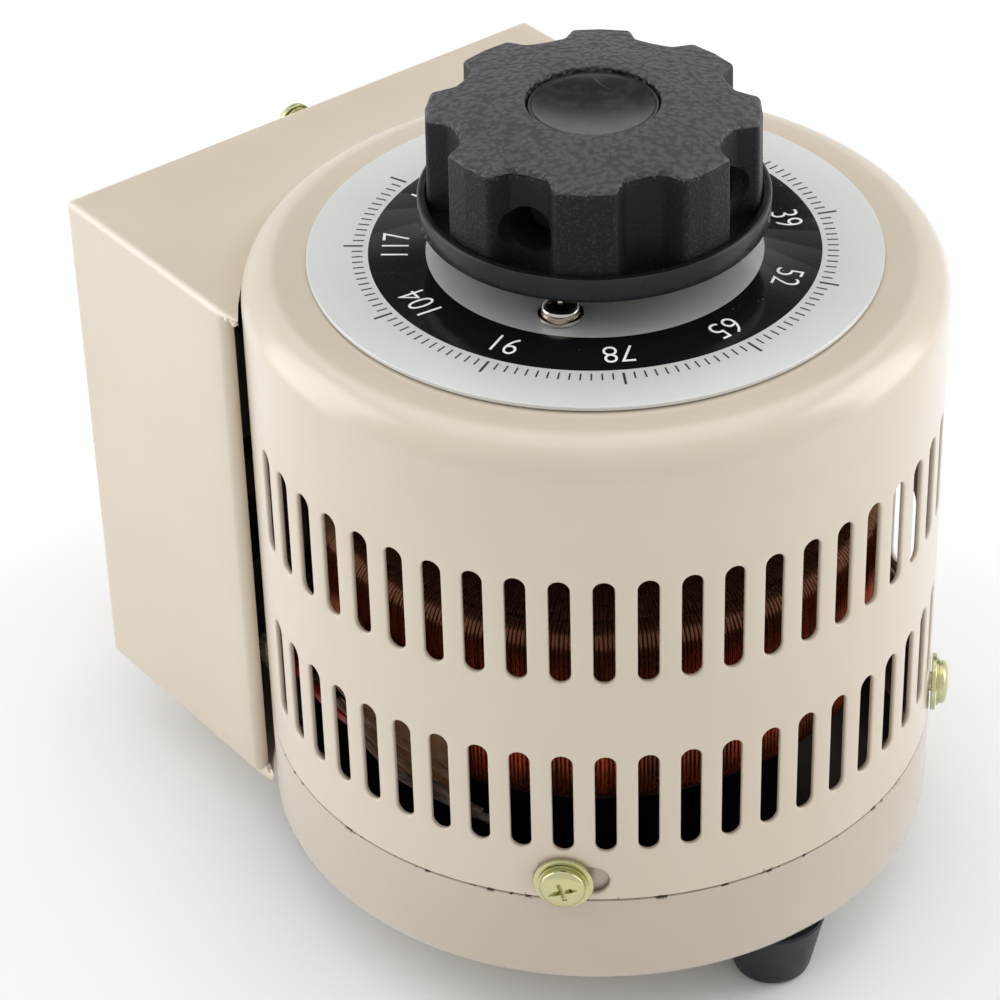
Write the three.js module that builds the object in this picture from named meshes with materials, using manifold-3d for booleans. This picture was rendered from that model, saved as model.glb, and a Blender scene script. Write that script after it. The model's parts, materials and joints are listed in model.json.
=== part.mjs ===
// A panel-boxed variable autotransformer (variac): a vented drum that holds a toroidal
// winding, with a dial and a lobed knob on top and a control box on its front.
// Millimetres, +Z up. The knob's shaft stands on the Z axis of the inner group, the control
// box faces -Y, and the feet stand on z = 0.
import * as THREE from "three";
import { mergeVertices } from "three/addons/utils/BufferGeometryUtils.js";
import Module from "manifold-3d";

const wasm = await Module();
wasm.setup();

// ---------------------------------------------------------------- driving sizes

const GAP = 0.3; // between pieces that touch on the real object
const SHEET = 1.0; // sheet steel of the cover, the pan and the box
const DRUM_R = 65.5;
const DRUM_SEGMENTS = 52; // one flat for each vent slot's pitch
const FOOT_H = 14.5;
const SEAM_Z = 35.5; // where the cover meets the pan
const COVER_TOP_Z = 136.2;
const SHOULDER_R = 7;
const DIAL_R = 53.1;
const DIAL_T = 0.8;
const DIAL_TOP_Z = COVER_TOP_Z + GAP + DIAL_T;

const SLOT_PITCH_DEG = 360 / DRUM_SEGMENTS;
const SLOTS_PER_ROW = 32;
const SLOT_W = 3.9;
const SLOT_H = 22.3;
const SLOT_ROWS_Z = [58.3, 97.5];

const COIL = { outer: 56, inner: 24, bottom: 50, top: 89.5, shoulder: 5 };
const COIL_SKIN = 1.6; // wall of the winding, which is hollow round its core
const COIL_GAP_DEG = 29; // stretch with no turns, towards the box
const BRUSH_TRACK_R = 41;

const SHAFT_R = 5;
const SHAFT_BORE_R = SHAFT_R + GAP;
const TRAVEL_DEG = 325; // dial sweep from 0 to 130 V
const ZERO_DEG = 270 - (360 - TRAVEL_DEG) / 2; // where the pointer stands at 0 V

const KNOB = { lobe: 30.6, skirt: 32.3, bottom: 145, rim: 149.8, edge: 166, top: 167.8 };
const KNOB_LOBES = 8;
const KNOB_LOBE_DEG = 3; // first lobe's centre at rest
const SET_SCREW_DEG = [25.5, 115.5];
const SET_SCREW_Z = 155;

const BOX = { half: 57, front: -93.5, bottom: 16, top: 126.5, wall: 1.2, flange: 6.6 };
const PANEL = { margin: 2.2, thick: 1.4 };
const PANEL_BACK_Y = BOX.front - GAP;
const PANEL_FACE_Y = PANEL_BACK_Y - PANEL.thick;

const METER = { z: 89.5, width: 60, height: 51, depth: 9, barrel: 21, reach: 20 };
const METER_PIVOT_Z = METER.z - 12;
const SWITCH = { x: -36, z: 42, width: 20, height: 28, tilt: 10 };
const OUTLET = { x: -2, z: 42, width: 34, height: 29 };
const FUSE = { x: 36, z: 50.5, r: 7.8 };
const GLAND = { x: 36, z: 29, r: 9 };

// ---------------------------------------------------------------- small tools

const rad = (degrees) => (degrees * Math.PI) / 180;
const polar = (r, degrees) => [r * Math.cos(rad(degrees)), r * Math.sin(rad(degrees))];

// A closed three.js geometry as a manifold-3d solid, whichever way its faces are wound.
function solid(geometry) {
  const bare = geometry.index ? geometry.toNonIndexed() : geometry.clone();
  for (const name of Object.keys(bare.attributes)) {
    if (name !== "position") bare.deleteAttribute(name);
  }
  const merged = mergeVertices(bare, 1e-4);
  const kept = [];
  const corners = merged.index.array;
  for (let i = 0; i < corners.length; i += 3) {
    const [a, b, c] = [corners[i], corners[i + 1], corners[i + 2]];
    if (a !== b && b !== c && c !== a) kept.push(a, b, c);
  }
  const build = (triangles) =>
    new wasm.Manifold(
      new wasm.Mesh({
        numProp: 3,
        vertProperties: new Float32Array(merged.attributes.position.array),
        triVerts: new Uint32Array(triangles),
      }),
    );
  const made = build(kept);
  if (made.volume() > 0) return made;
  const flipped = [];
  for (let i = 0; i < kept.length; i += 3) flipped.push(kept[i], kept[i + 2], kept[i + 1]);
  return build(flipped);
}

const union = (first, ...rest) => rest.reduce((sum, next) => sum.add(next), first);
const cut = (body, ...tools) => body.subtract(tools.length > 1 ? union(...tools) : tools[0]);

// A solid back as a three.js geometry with flat-shaded faces.
function geometryOf(body) {
  const mesh = body.getMesh();
  const geometry = new THREE.BufferGeometry();
  const flat = new Float32Array(mesh.triVerts.length * 3);
  mesh.triVerts.forEach((vertex, i) => {
    for (let axis = 0; axis < 3; axis++) {
      flat[3 * i + axis] = mesh.vertProperties[mesh.numProp * vertex + axis];
    }
  });
  geometry.setAttribute("position", new THREE.BufferAttribute(flat, 3));
  geometry.computeVertexNormals();
  return geometry;
}

// Turns a closed (radius, height) outline about the Z axis.
function lathe(outline, segments = 24) {
  const points = outline.map(([r, z]) => new THREE.Vector2(r, z));
  const closed = outline[0][0] > 0 || outline[outline.length - 1][0] > 0;
  if (closed) points.push(points[0].clone());
  return solid(new THREE.LatheGeometry(points, segments).rotateX(Math.PI / 2));
}

const ring = (inner, outer, z0, z1, segments = 24) =>
  lathe([[inner, z0], [outer, z0], [outer, z1], [inner, z1]], segments);
const rod = (r, z0, z1, segments = 16) => lathe([[0, z0], [r, z0], [r, z1], [0, z1]], segments);

// Points of a quarter or other arc in an outline, from one angle to another, in degrees.
function arc(cx, cy, r, from, to, steps = 4) {
  return Array.from({ length: steps + 1 }, (_, i) => {
    const [x, y] = polar(r, from + ((to - from) * i) / steps);
    return [cx + x, cy + y];
  });
}

const box = (x0, x1, y0, y1, z0, z1) =>
  solid(
    new THREE.BoxGeometry(x1 - x0, y1 - y0, z1 - z0).translate(
      (x0 + x1) / 2,
      (y0 + y1) / 2,
      (z0 + z1) / 2,
    ),
  );

// An outline in X and Z, with any holes, as a plate between two depths in Y.
function plate(shape, y0, y1, curveSegments = 4) {
  const depth = y1 - y0;
  const geometry = new THREE.ExtrudeGeometry(shape, { depth, bevelEnabled: false, curveSegments });
  return solid(geometry.rotateX(Math.PI / 2).translate(0, y1, 0));
}

function roundedRect(cx, cy, width, height, r) {
  const [x0, x1, y0, y1] = [cx - width / 2, cx + width / 2, cy - height / 2, cy + height / 2];
  const shape = new THREE.Shape();
  shape.moveTo(x0 + r, y0);
  shape.lineTo(x1 - r, y0);
  shape.absarc(x1 - r, y0 + r, r, -Math.PI / 2, 0);
  shape.lineTo(x1, y1 - r);
  shape.absarc(x1 - r, y1 - r, r, 0, Math.PI / 2);
  shape.lineTo(x0 + r, y1);
  shape.absarc(x0 + r, y1 - r, r, Math.PI / 2, Math.PI);
  shape.lineTo(x0, y0 + r);
  shape.absarc(x0 + r, y0 + r, r, Math.PI, (3 * Math.PI) / 2);
  return shape;
}

// A slot outline with round ends, upright or lying.
function obround(width, height) {
  const r = Math.min(width, height) / 2;
  const reach = Math.max(width, height) / 2 - r;
  const ends = height > width
    ? [...arc(0, reach, r, 0, 180, 3), ...arc(0, -reach, r, 180, 360, 3)]
    : [...arc(reach, 0, r, -90, 90, 3), ...arc(-reach, 0, r, 90, 270, 3)];
  return new THREE.Shape(ends.map(([x, y]) => new THREE.Vector2(x, y)));
}

// A solid built along +Z, laid along -Y with its foot on a panel point.
const outOfPanel = (body, x, y, z) => body.rotate([90, 0, 0]).translate([x, y, z]);
// A solid built along +Z, laid outwards from the drum's axis.
const outOfDrum = (body, degrees, r, z) =>
  body.rotate([0, 90, 0]).translate([r, 0, z]).rotate([0, 0, degrees]);
const turned = (body, degrees) => body.rotate([0, 0, degrees]);
const at = (body, x, y, z) => body.translate([x, y, z]);

// A round wire or tube along points.
function wire(points, r, steps, sides = 6) {
  const path = new THREE.CatmullRomCurve3(
    points.map((p) => new THREE.Vector3(...p)),
    false,
    "centripetal",
  );
  const section = new THREE.Shape();
  for (let i = 0; i < sides; i++) {
    const [x, y] = polar(r, (360 * i) / sides);
    if (i) section.lineTo(x, y);
    else section.moveTo(x, y);
  }
  section.closePath();
  const swept = { steps, extrudePath: path, bevelEnabled: false };
  return solid(new THREE.ExtrudeGeometry(section, swept));
}

const material = (color, roughness, metalness = 0) =>
  new THREE.MeshStandardMaterial({ color, roughness, metalness });
const see = (color, opacity) =>
  new THREE.MeshStandardMaterial({ color, roughness: 0.05, transparent: true, opacity });
const MATERIALS = {
  paint: material(0xded4ca, 0.38),
  steel: material(0x8f9296, 0.4, 1),
  zinc: material(0xc9b87a, 0.3, 1),
  nickel: material(0xcfc8bd, 0.2, 1),
  dial: material(0xd5dbda, 0.3, 0.6),
  black: material(0x17181a, 0.5),
  gloss: material(0x0d0e10, 0.2),
  rubber: material(0x17181c, 0.6),
  copper: material(0x6d2d18, 0.35, 0.7),
  iron: material(0x5a5c60, 0.5, 0.9),
  phenolic: material(0x6b3d22, 0.55),
  aluminium: material(0xb9bcc0, 0.4, 0.9),
  carbon: material(0x1d1d1f, 0.6),
  white: material(0xf2f1ec, 0.5),
  clear: see(0xeef4f6, 0.3),
  glass: see(0xe8f0f0, 0.5),
  red: material(0xb3121a, 0.3),
  redWire: material(0xa8141c, 0.45),
  brass: material(0xb58d3d, 0.35, 1),
};

// The shaft's axis is the inner group's Z axis; the outer group centres the part's box on it.
const FRONT_Y = PANEL_FACE_Y - 15.5; // the cable gland's mouth, the part's front-most point
const assembly = new THREE.Group();
assembly.name = "variable_autotransformer";
const drum = new THREE.Group();
drum.position.y = -(FRONT_Y + DRUM_R) / 2;
assembly.add(drum);

function part(name, body, finish) {
  const mesh = new THREE.Mesh(geometryOf(body), finish);
  mesh.name = name;
  drum.add(mesh);
}

// ---------------------------------------------------------------- fasteners

// A pan-head cross-recess screw standing on z = 0: washers below the head, shank below that.
function crossScrew({ head, height, shank, length, washer = 0, spring = 0, springT = 0 }) {
  const washerT = washer ? 1 : 0;
  const under = washerT + springT;
  const dome = height * 0.45;
  const outline = [[0, -length], [shank, -length], [shank, 0]];
  if (washer) outline.push([washer, 0], [washer, washerT]);
  if (spring) outline.push([spring, washerT], [spring, under]);
  outline.push([head, under], [head, under + height - dome]);
  outline.push([head * 0.6, under + height], [0, under + height]);
  const top = under + height;
  const recess = head * 0.62;
  const blade = head * 0.11;
  return cut(
    lathe(outline, 10),
    box(-recess, recess, -blade, blade, top - 1.5, top + 1),
    box(-blade, blade, -recess, recess, top - 1.5, top + 1),
  );
}

function hexNut(across, bore, z0, z1) {
  return cut(rod(across / Math.sqrt(3), z0, z1, 6), rod(bore, z0 - 1, z1 + 1, 20));
}

// ---------------------------------------------------------------- drum: pan, feet, cover

const FEET_R = 55;
const FEET_DEG = [88, 208, 328];
const FOOT_SCREW_HOLE = 2.4;
const PAN = { edge: 3, lipTop: 45.8, lipOuter: DRUM_R - SHEET - 0.4, hub: 7.3 };
const COVER_SCREW_DEG = [45, 135, 225, 315];
const COVER_SCREW_Z = 40.1;

function basePan() {
  const inner = PAN.lipOuter - SHEET;
  const [floor, top] = [FOOT_H, SEAM_Z - GAP];
  const pan = lathe(
    [
      [PAN.hub, floor],
      ...arc(DRUM_R - PAN.edge, floor + PAN.edge, PAN.edge, -90, 0, 1),
      [DRUM_R, top],
      [PAN.lipOuter, top],
      [PAN.lipOuter, PAN.lipTop],
      [inner, PAN.lipTop],
      [inner, top - SHEET],
      [DRUM_R - SHEET, top - SHEET],
      ...arc(DRUM_R - PAN.edge, floor + PAN.edge, PAN.edge - SHEET, 0, -90, 1),
      [PAN.hub, floor + SHEET],
    ],
    DRUM_SEGMENTS,
  );
  const holes = FEET_DEG.map((degrees) =>
    at(rod(FOOT_SCREW_HOLE, floor - 1, floor + 3, 12), ...polar(FEET_R, degrees), 0),
  );
  const threads = COVER_SCREW_DEG.map((degrees) =>
    outOfDrum(rod(2.3, 0, 10, 12), degrees, DRUM_R - 6, COVER_SCREW_Z),
  );
  return cut(pan, ...holes, ...threads);
}
part("base_pan", basePan(), MATERIALS.paint);

function foot() {
  const [bore, recess, depth] = [FOOT_SCREW_HOLE, 4.6, 6];
  const top = FOOT_H - GAP;
  return lathe(
    [
      [bore, depth], [recess, depth], [recess, 0], ...arc(5.7, 2, 2, -90, -8, 2),
      [10.4, top], [bore, top],
    ],
    14,
  );
}
FEET_DEG.forEach((degrees, i) => {
  const [x, y] = polar(FEET_R, degrees);
  part(`foot_${i + 1}`, at(foot(), x, y, 0), MATERIALS.rubber);
  const screw = crossScrew({ head: 3.7, height: 2.4, shank: 2, length: 13 });
  part(`foot_screw_${i + 1}`, at(screw.rotate([180, 0, 0]), x, y, 6 - GAP), MATERIALS.zinc);
});

// Vent slots stand in two rows, spread evenly about the side away from the control box.
function ventSlots() {
  const tool = plate(obround(SLOT_W, SLOT_H), 0, 8).translate([0, DRUM_R - 5, 0]);
  const tools = [];
  for (const z of SLOT_ROWS_Z) {
    for (let i = 0; i < SLOTS_PER_ROW; i++) {
      const degrees = (SLOT_PITCH_DEG * (2 * i + 1 - SLOTS_PER_ROW)) / 2;
      tools.push(turned(at(tool, 0, 0, z), degrees));
    }
  }
  return tools;
}

const DIAL_SCREW_R = 24.7;
const DIAL_SCREW_DEG = [36.5, 156.5, 276.5];
const BUSH_R = 11;

function topCover() {
  const flat = DRUM_R - SHOULDER_R;
  const shoulderZ = COVER_TOP_Z - SHOULDER_R;
  const shell = lathe(
    [
      [BUSH_R + 1, COVER_TOP_Z],
      ...arc(flat, shoulderZ, SHOULDER_R, 90, 0, 4),
      [DRUM_R, SEAM_Z],
      [DRUM_R - SHEET, SEAM_Z],
      ...arc(flat, shoulderZ, SHOULDER_R - SHEET, 0, 90, 3),
      [BUSH_R + 1, COVER_TOP_Z - SHEET],
    ],
    DRUM_SEGMENTS,
  );
  const screwSlot = plate(obround(14, 6.2), 0, 8).translate([0, DRUM_R - 5, COVER_SCREW_Z]);
  const screwSlots = COVER_SCREW_DEG.map((degrees) => turned(screwSlot, degrees - 90 + 1));
  const dialHoles = DIAL_SCREW_DEG.map((degrees) =>
    at(rod(2.3, COVER_TOP_Z - 3, COVER_TOP_Z + 2, 12), ...polar(DIAL_SCREW_R, degrees), 0),
  );
  const wiringWindow = box(-21, 21, -DRUM_R - 5, -DRUM_R + 12, 52, 78);
  return cut(shell, ...ventSlots(), ...screwSlots, ...dialHoles, wiringWindow);
}
part("top_cover", topCover(), MATERIALS.paint);

COVER_SCREW_DEG.forEach((degrees, i) => {
  const screw = crossScrew({
    head: 4.3, height: 1.9, shank: 2, length: 7, washer: 5.65, spring: 4.6, springT: 0.4,
  });
  const body = outOfDrum(turned(screw, 38 + 70 * i), degrees, DRUM_R + GAP, COVER_SCREW_Z);
  part(`cover_screw_${i + 1}`, body, MATERIALS.zinc);
});

// ---------------------------------------------------------------- dial and its screws

function dialPlate() {
  const z0 = COVER_TOP_Z + GAP;
  const holes = DIAL_SCREW_DEG.map((degrees) =>
    at(rod(2.3, z0 - 1, z0 + 3, 12), ...polar(DIAL_SCREW_R, degrees), 0),
  );
  return cut(ring(7.5, DIAL_R, z0, DIAL_TOP_Z, DRUM_SEGMENTS), ...holes);
}
part("dial_plate", dialPlate(), MATERIALS.dial);

DIAL_SCREW_DEG.forEach((degrees, i) => {
  const screw = crossScrew({ head: 3.1, height: 2.2, shank: 2, length: 5, washer: 4.1 });
  const [x, y] = polar(DIAL_SCREW_R, degrees);
  part(`dial_screw_${i + 1}`, at(turned(screw, degrees), x, y, DIAL_TOP_Z + GAP / 2), MATERIALS.nickel);
});

// Bearing plate under the cover's top: its bush carries the shaft, its holes take the dial
// screws, and its post stops the brush arm at both ends of its travel.
const STOP_R = 20;
const BEARING = { r: 30, bottom: 131.6, top: COVER_TOP_Z - SHEET - GAP };

function topBearing() {
  const plateRing = ring(SHAFT_BORE_R, BEARING.r, BEARING.bottom, BEARING.top, 24);
  const bush = ring(SHAFT_BORE_R, BUSH_R - 2, BEARING.bottom - 5, BEARING.bottom + 1, 16);
  const collar = ring(SHAFT_BORE_R, BUSH_R, BEARING.top - 1, COVER_TOP_Z, 16);
  const threads = DIAL_SCREW_DEG.map((degrees) =>
    at(rod(2.2, BEARING.bottom - 1, BEARING.top + 1, 12), ...polar(DIAL_SCREW_R, degrees), 0),
  );
  return cut(union(plateRing, bush, collar), ...threads);
}
part("top_bearing", topBearing(), MATERIALS.steel);

part("stop_post", at(rod(3, 114, BEARING.bottom - GAP, 16), 0, -STOP_R, 0), MATERIALS.steel);

// ---------------------------------------------------------------- coil and its mounting

const HUB = { r: 9, foot: 9.5, top: 99.6 };
const SUPPORT = { bottom: FOOT_H + SHEET + GAP, top: 46.4 };

function bearingHub() {
  const flangeZ = SUPPORT.bottom;
  return lathe(
    [
      [SHAFT_BORE_R, HUB.foot], [PAN.hub - GAP, HUB.foot], [PAN.hub - GAP, flangeZ],
      [15, flangeZ], [15, flangeZ + 2.5], [HUB.r, flangeZ + 2.5],
      [HUB.r, HUB.top], [SHAFT_BORE_R, HUB.top],
    ],
    18,
  );
}
part("bearing_hub", bearingHub(), MATERIALS.steel);
part("base_nut", hexNut(22, PAN.hub, FOOT_H - GAP - 4, FOOT_H - GAP), MATERIALS.steel);

// Pressed pedestal that lifts the coil off the pan, with windows round its wall.
function coilSupport() {
  const [r, wall] = [32, 2];
  const foot = SUPPORT.bottom;
  const shell = lathe(
    [
      [16, foot], [r + 8, foot], [r + 8, foot + wall], [r, foot + wall], [r, SUPPORT.top - wall],
      [r + 6, SUPPORT.top - wall], [r + 6, SUPPORT.top], [HUB.r + 1, SUPPORT.top],
      [HUB.r + 1, SUPPORT.top - wall], [r - wall, SUPPORT.top - wall],
      [r - wall, foot + wall], [16, foot + wall],
    ],
    16,
  );
  const windows = [0, 90].map((degrees) =>
    turned(box(-50, 50, -8, 8, foot + 7, SUPPORT.top - 7), degrees),
  );
  return cut(shell, ...windows);
}
part("coil_support", coilSupport(), MATERIALS.iron);
part(
  "base_insulator",
  ring(HUB.r + 1, 50, SUPPORT.top + GAP, COIL.bottom - GAP, 28),
  MATERIALS.phenolic,
);

// Rounded outline of the toroid, drawn in by an even offset.
function toroidOutline(offset, steps) {
  const { outer, inner, bottom, top, shoulder } = COIL;
  const r = Math.max(shoulder - offset, 0.6);
  const [ro, ri, z0, z1] = [outer - offset, inner + offset, bottom + offset, top - offset];
  return [
    ...arc(ri + r, z0 + r, r, 180, 270, steps),
    ...arc(ro - r, z0 + r, r, 270, 360, steps),
    ...arc(ro - r, z1 - r, r, 0, 90, steps),
    ...arc(ri + r, z1 - r, r, 90, 180, steps),
  ];
}

function sector(halfDegrees, z0, z1) {
  const [x, y] = polar(90, -90 + halfDegrees);
  const corners = [[0, 0], [-x, y], [x, y]];
  const shape = new THREE.Shape(corners.map((corner) => new THREE.Vector2(...corner)));
  const geometry = new THREE.ExtrudeGeometry(shape, { depth: z1 - z0, bevelEnabled: false });
  return solid(geometry.translate(0, 0, z0));
}

function winding() {
  const hollow = lathe(toroidOutline(0, 2), 36).subtract(lathe(toroidOutline(COIL_SKIN, 1), 36));
  return cut(hollow, sector(COIL_GAP_DEG / 2, 0, 120));
}
part("winding", winding(), MATERIALS.copper);

const CORE_CLEAR = COIL_SKIN + GAP;
const INSULATOR_T = 2;
const coreRing = (z0, z1, inset) =>
  ring(COIL.inner + CORE_CLEAR + inset, COIL.outer - CORE_CLEAR - inset, z0, z1, 28);
const [coreBottom, coreTop] = [COIL.bottom + CORE_CLEAR, COIL.top - CORE_CLEAR];
part("core_insulator_lower", coreRing(coreBottom, coreBottom + INSULATOR_T, 3), MATERIALS.phenolic);
part("core_insulator_upper", coreRing(coreTop - INSULATOR_T, coreTop, 3), MATERIALS.phenolic);
part(
  "toroid_core",
  coreRing(coreBottom + INSULATOR_T + GAP, coreTop - INSULATOR_T - GAP, 1),
  MATERIALS.iron,
);

const CLAMP = { r: 30, bottom: COIL.top + GAP, top: COIL.top + GAP + 3 };
part("clamp_disc", ring(HUB.r + 0.6, CLAMP.r, CLAMP.bottom, CLAMP.top, 24), MATERIALS.phenolic);
part("hub_nut", hexNut(26, HUB.r + GAP, CLAMP.top + GAP, CLAMP.top + GAP + 4.5), MATERIALS.steel);

// Curved board that keeps the leads off the turns.
function leadBoard() {
  const shell = ring(57.6, 58.6, 50, 76, 72);
  const keep = turned(sector(14, 40, 90), 102);
  return shell.intersect(keep);
}
part("lead_board", leadBoard(), MATERIALS.phenolic);

// ---------------------------------------------------------------- rotor

const ARM = { bottom: HUB.top + 0.7, thick: 3, width: 17, reach: 34.5 };
const HOLDER = { bottom: 92.6, top: 105.4, inner: 35, outer: 47, half: 6 };
const BRUSH = { radial: 3, half: 2.4, height: 7.2 };

function brushArm() {
  const { bottom, thick, width, reach } = ARM;
  const hub = ring(SHAFT_R + 0.2, 13, bottom, bottom + 11, 20);
  const disc = ring(SHAFT_R + 0.2, 27, bottom + 6, bottom + 8, 24);
  const arm = box(SHAFT_R + 4, reach, -width / 2, width / 2, bottom, bottom + thick);
  const lug = at(rod(2.5, bottom + 7, bottom + 20, 14), STOP_R, 0, 0);
  return turned(union(hub, disc, arm, lug), ZERO_DEG);
}
part("brush_arm", brushArm(), MATERIALS.aluminium);

function brushHolder() {
  const { bottom, top, inner, outer, half } = HOLDER;
  const pocket = box(
    BRUSH_TRACK_R - BRUSH.radial - GAP, BRUSH_TRACK_R + BRUSH.radial + GAP,
    -BRUSH.half - GAP, BRUSH.half + GAP, bottom - 1, top - 1.5,
  );
  return turned(cut(box(inner, outer, -half, half, bottom, top), pocket), ZERO_DEG);
}
part("brush_holder", brushHolder(), MATERIALS.brass);

const BRUSH_TOP_Z = COIL.top + GAP + BRUSH.height;
const carbonBrush = box(
  BRUSH_TRACK_R - BRUSH.radial, BRUSH_TRACK_R + BRUSH.radial,
  -BRUSH.half, BRUSH.half, COIL.top + GAP, BRUSH_TOP_Z,
);
part("carbon_brush", turned(carbonBrush, ZERO_DEG), MATERIALS.carbon);

function brushSpring() {
  const [turns, r, wireR] = [4, 1.5, 0.3];
  const [z0, z1] = [BRUSH_TOP_Z + wireR + 0.05, HOLDER.top - 1.5 - wireR - 0.15];
  const steps = turns * 8;
  const points = Array.from({ length: steps + 1 }, (_, i) => {
    const [x, y] = polar(r, (360 * turns * i) / steps);
    return [BRUSH_TRACK_R + x, y, z0 + ((z1 - z0) * i) / steps];
  });
  return turned(wire(points, wireR, steps, 4), ZERO_DEG);
}
part("brush_spring", brushSpring(), MATERIALS.steel);

const SHAFT = { bottom: 8, top: 160.5 };
part("shaft", rod(SHAFT_R, SHAFT.bottom, SHAFT.top, 24), MATERIALS.steel);
part("shaft_collar", ring(SHAFT_R + 0.2, 9, 120.5, 125.6, 24), MATERIALS.brass);

// Outline of the knob: eight flat-crowned lobes with round scallops between them.
function knobOutline() {
  const pitch = 360 / KNOB_LOBES;
  const crownHalf = 10.6;
  const scallopR = 26;
  const points = [];
  for (let lobe = 0; lobe < KNOB_LOBES; lobe++) {
    const centre = KNOB_LOBE_DEG + lobe * pitch;
    for (const step of [-1, 0, 1]) {
      points.push(polar(KNOB.lobe, centre + step * crownHalf));
    }
    for (const step of [-0.62, 0, 0.62]) {
      const shallow = 0.9 * Math.abs(step);
      points.push(polar(scallopR + shallow, centre + pitch / 2 + step * (pitch / 2 - crownHalf)));
    }
  }
  return new THREE.Shape(points.map(([x, y]) => new THREE.Vector2(x, y)));
}

function radialBore(degrees, r, from, to, z) {
  return outOfDrum(rod(r, 0, to - from, 16), degrees, from, z);
}

function knob() {
  const { bottom, rim, edge, top, skirt } = KNOB;
  const lobed = (depth, bevel) =>
    solid(
      new THREE.ExtrudeGeometry(knobOutline(), {
        depth,
        bevelThickness: bevel,
        bevelSize: 1.0,
        bevelOffset: -1.0,
        bevelSegments: 1,
      }),
    );
  const body = at(lobed(edge - rim + 2 - 1.2, 1.2), 0, 0, rim - 2);
  const dome = lathe([[0, edge - 1], [30, edge - 1], [30, edge], [14, top], [0, top]], 36);
  const crown = dome.intersect(at(lobed(edge, 1), 0, 0, 20));
  const lobes = union(body, crown);
  const skirtRing = lathe(
    [
      [12, bottom], [skirt - 1, bottom], [skirt, bottom + 1], [skirt, rim - 0.4],
      [skirt - 0.4, rim], [skirt - 1.4, rim], [skirt - 1.6, rim - 2], [12, rim - 2],
    ],
    36,
  );
  const hub = rod(12.5, DIAL_TOP_Z + 2.6, bottom + 1, 28);
  const undercut = ring(15, skirt - 3, bottom - 1, bottom + 1.8, 28);
  const bore = rod(SHAFT_BORE_R, DIAL_TOP_Z, SHAFT.top + 0.6, 24);
  const capSeat = rod(12.2, top - 2.4, top + 1, 32);
  const screwBores = SET_SCREW_DEG.flatMap((degrees) => [
    radialBore(degrees, 4.5, 15, 34, SET_SCREW_Z),
    radialBore(degrees, 2.8, 1, 17, SET_SCREW_Z),
  ]);
  const trim = ring(skirt + 0.2, skirt + 10, rim - 4, top + 2, 36);
  return cut(union(lobes, skirtRing, hub), undercut, bore, capSeat, trim, ...screwBores);
}
part("knob", knob(), MATERIALS.black);
part("knob_cap", rod(11.9, KNOB.top - 2.1, KNOB.top - 0.7, 32), MATERIALS.gloss);
SET_SCREW_DEG.forEach((degrees, i) => {
  const slot = box(-3, 3, -0.4, 0.4, 7, 9);
  const screw = cut(rod(2.45, 0, 8, 14), slot);
  part(
    `set_screw_${i + 1}`,
    outOfDrum(screw, degrees, SHAFT_R + GAP, SET_SCREW_Z),
    MATERIALS.steel,
  );
});

// ---------------------------------------------------------------- control box and panel

const PANEL_SCREW_Z = [BOX.top - 4.8, BOX.bottom + 4.8];

function controlBox() {
  const { half, front, bottom, top, wall, flange } = BOX;
  const outer = plate(roundedRect(0, (bottom + top) / 2, 2 * half, top - bottom, 1.2), front, 0, 2);
  const inner = box(-half + wall, half - wall, front + wall, 5, bottom + wall, top - wall);
  const opening = box(
    -half + flange, half - flange, front - 1, front + 3, bottom + flange, top - flange,
  );
  const drumSpace = rod(DRUM_R + 0.8, bottom - 1, top + 1, 72);
  const sideSpace = rod(DRUM_R + 2.2, bottom + wall, top - wall, 72);
  const holes = PANEL_SCREW_Z.map((z) => outOfPanel(rod(1.9, -4, 4, 12), 0, front, z));
  return cut(outer, inner, opening, drumSpace, sideSpace, ...holes);
}
part("control_box", controlBox(), MATERIALS.paint);

function frontPanel() {
  const { half, bottom, top } = BOX;
  const { margin } = PANEL;
  const [width, height] = [2 * (half - margin), top - bottom - 2 * margin];
  const outline = roundedRect(0, (bottom + top) / 2, width, height, 2.5);
  const sheet = plate(outline, PANEL_FACE_Y, PANEL_BACK_Y, 2);
  const through = (body, x, z) => outOfPanel(body, x, PANEL_BACK_Y + 2, z);
  const window = (x, z, w, h) =>
    box(x - w / 2, x + w / 2, PANEL_FACE_Y - 1, PANEL_BACK_Y + 1, z - h / 2, z + h / 2);
  return cut(
    sheet,
    through(rod(METER.barrel + GAP, 0, 8, 40), 0, METER.z),
    window(SWITCH.x, SWITCH.z, SWITCH.width - 1.4, SWITCH.height - 1.4),
    window(OUTLET.x, OUTLET.z, OUTLET.width - 5, OUTLET.height - 5),
    through(rod(6.3, 0, 8, 24), FUSE.x, FUSE.z),
    through(rod(6.3, 0, 8, 24), GLAND.x, GLAND.z),
    ...PANEL_SCREW_Z.map((z) => through(rod(2.2, 0, 8, 12), 0, z)),
  );
}
part("front_panel", frontPanel(), MATERIALS.paint);
PANEL_SCREW_Z.forEach((z, i) => {
  const screw = crossScrew({ head: 3.8, height: 2, shank: 1.7, length: 5, spring: 3.2, springT: 0.6 });
  const body = outOfPanel(turned(screw, 20 + 50 * i), 0, PANEL_FACE_Y - GAP, z);
  part(`panel_screw_${i + 1}`, body, MATERIALS.zinc);
});

// ---------------------------------------------------------------- voltmeter

const METER_BACK_Y = PANEL_FACE_Y - GAP;
const METER_FACE_Y = METER_BACK_Y - METER.depth;
const NEEDLE_DEG = 45; // each side of upright

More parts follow.
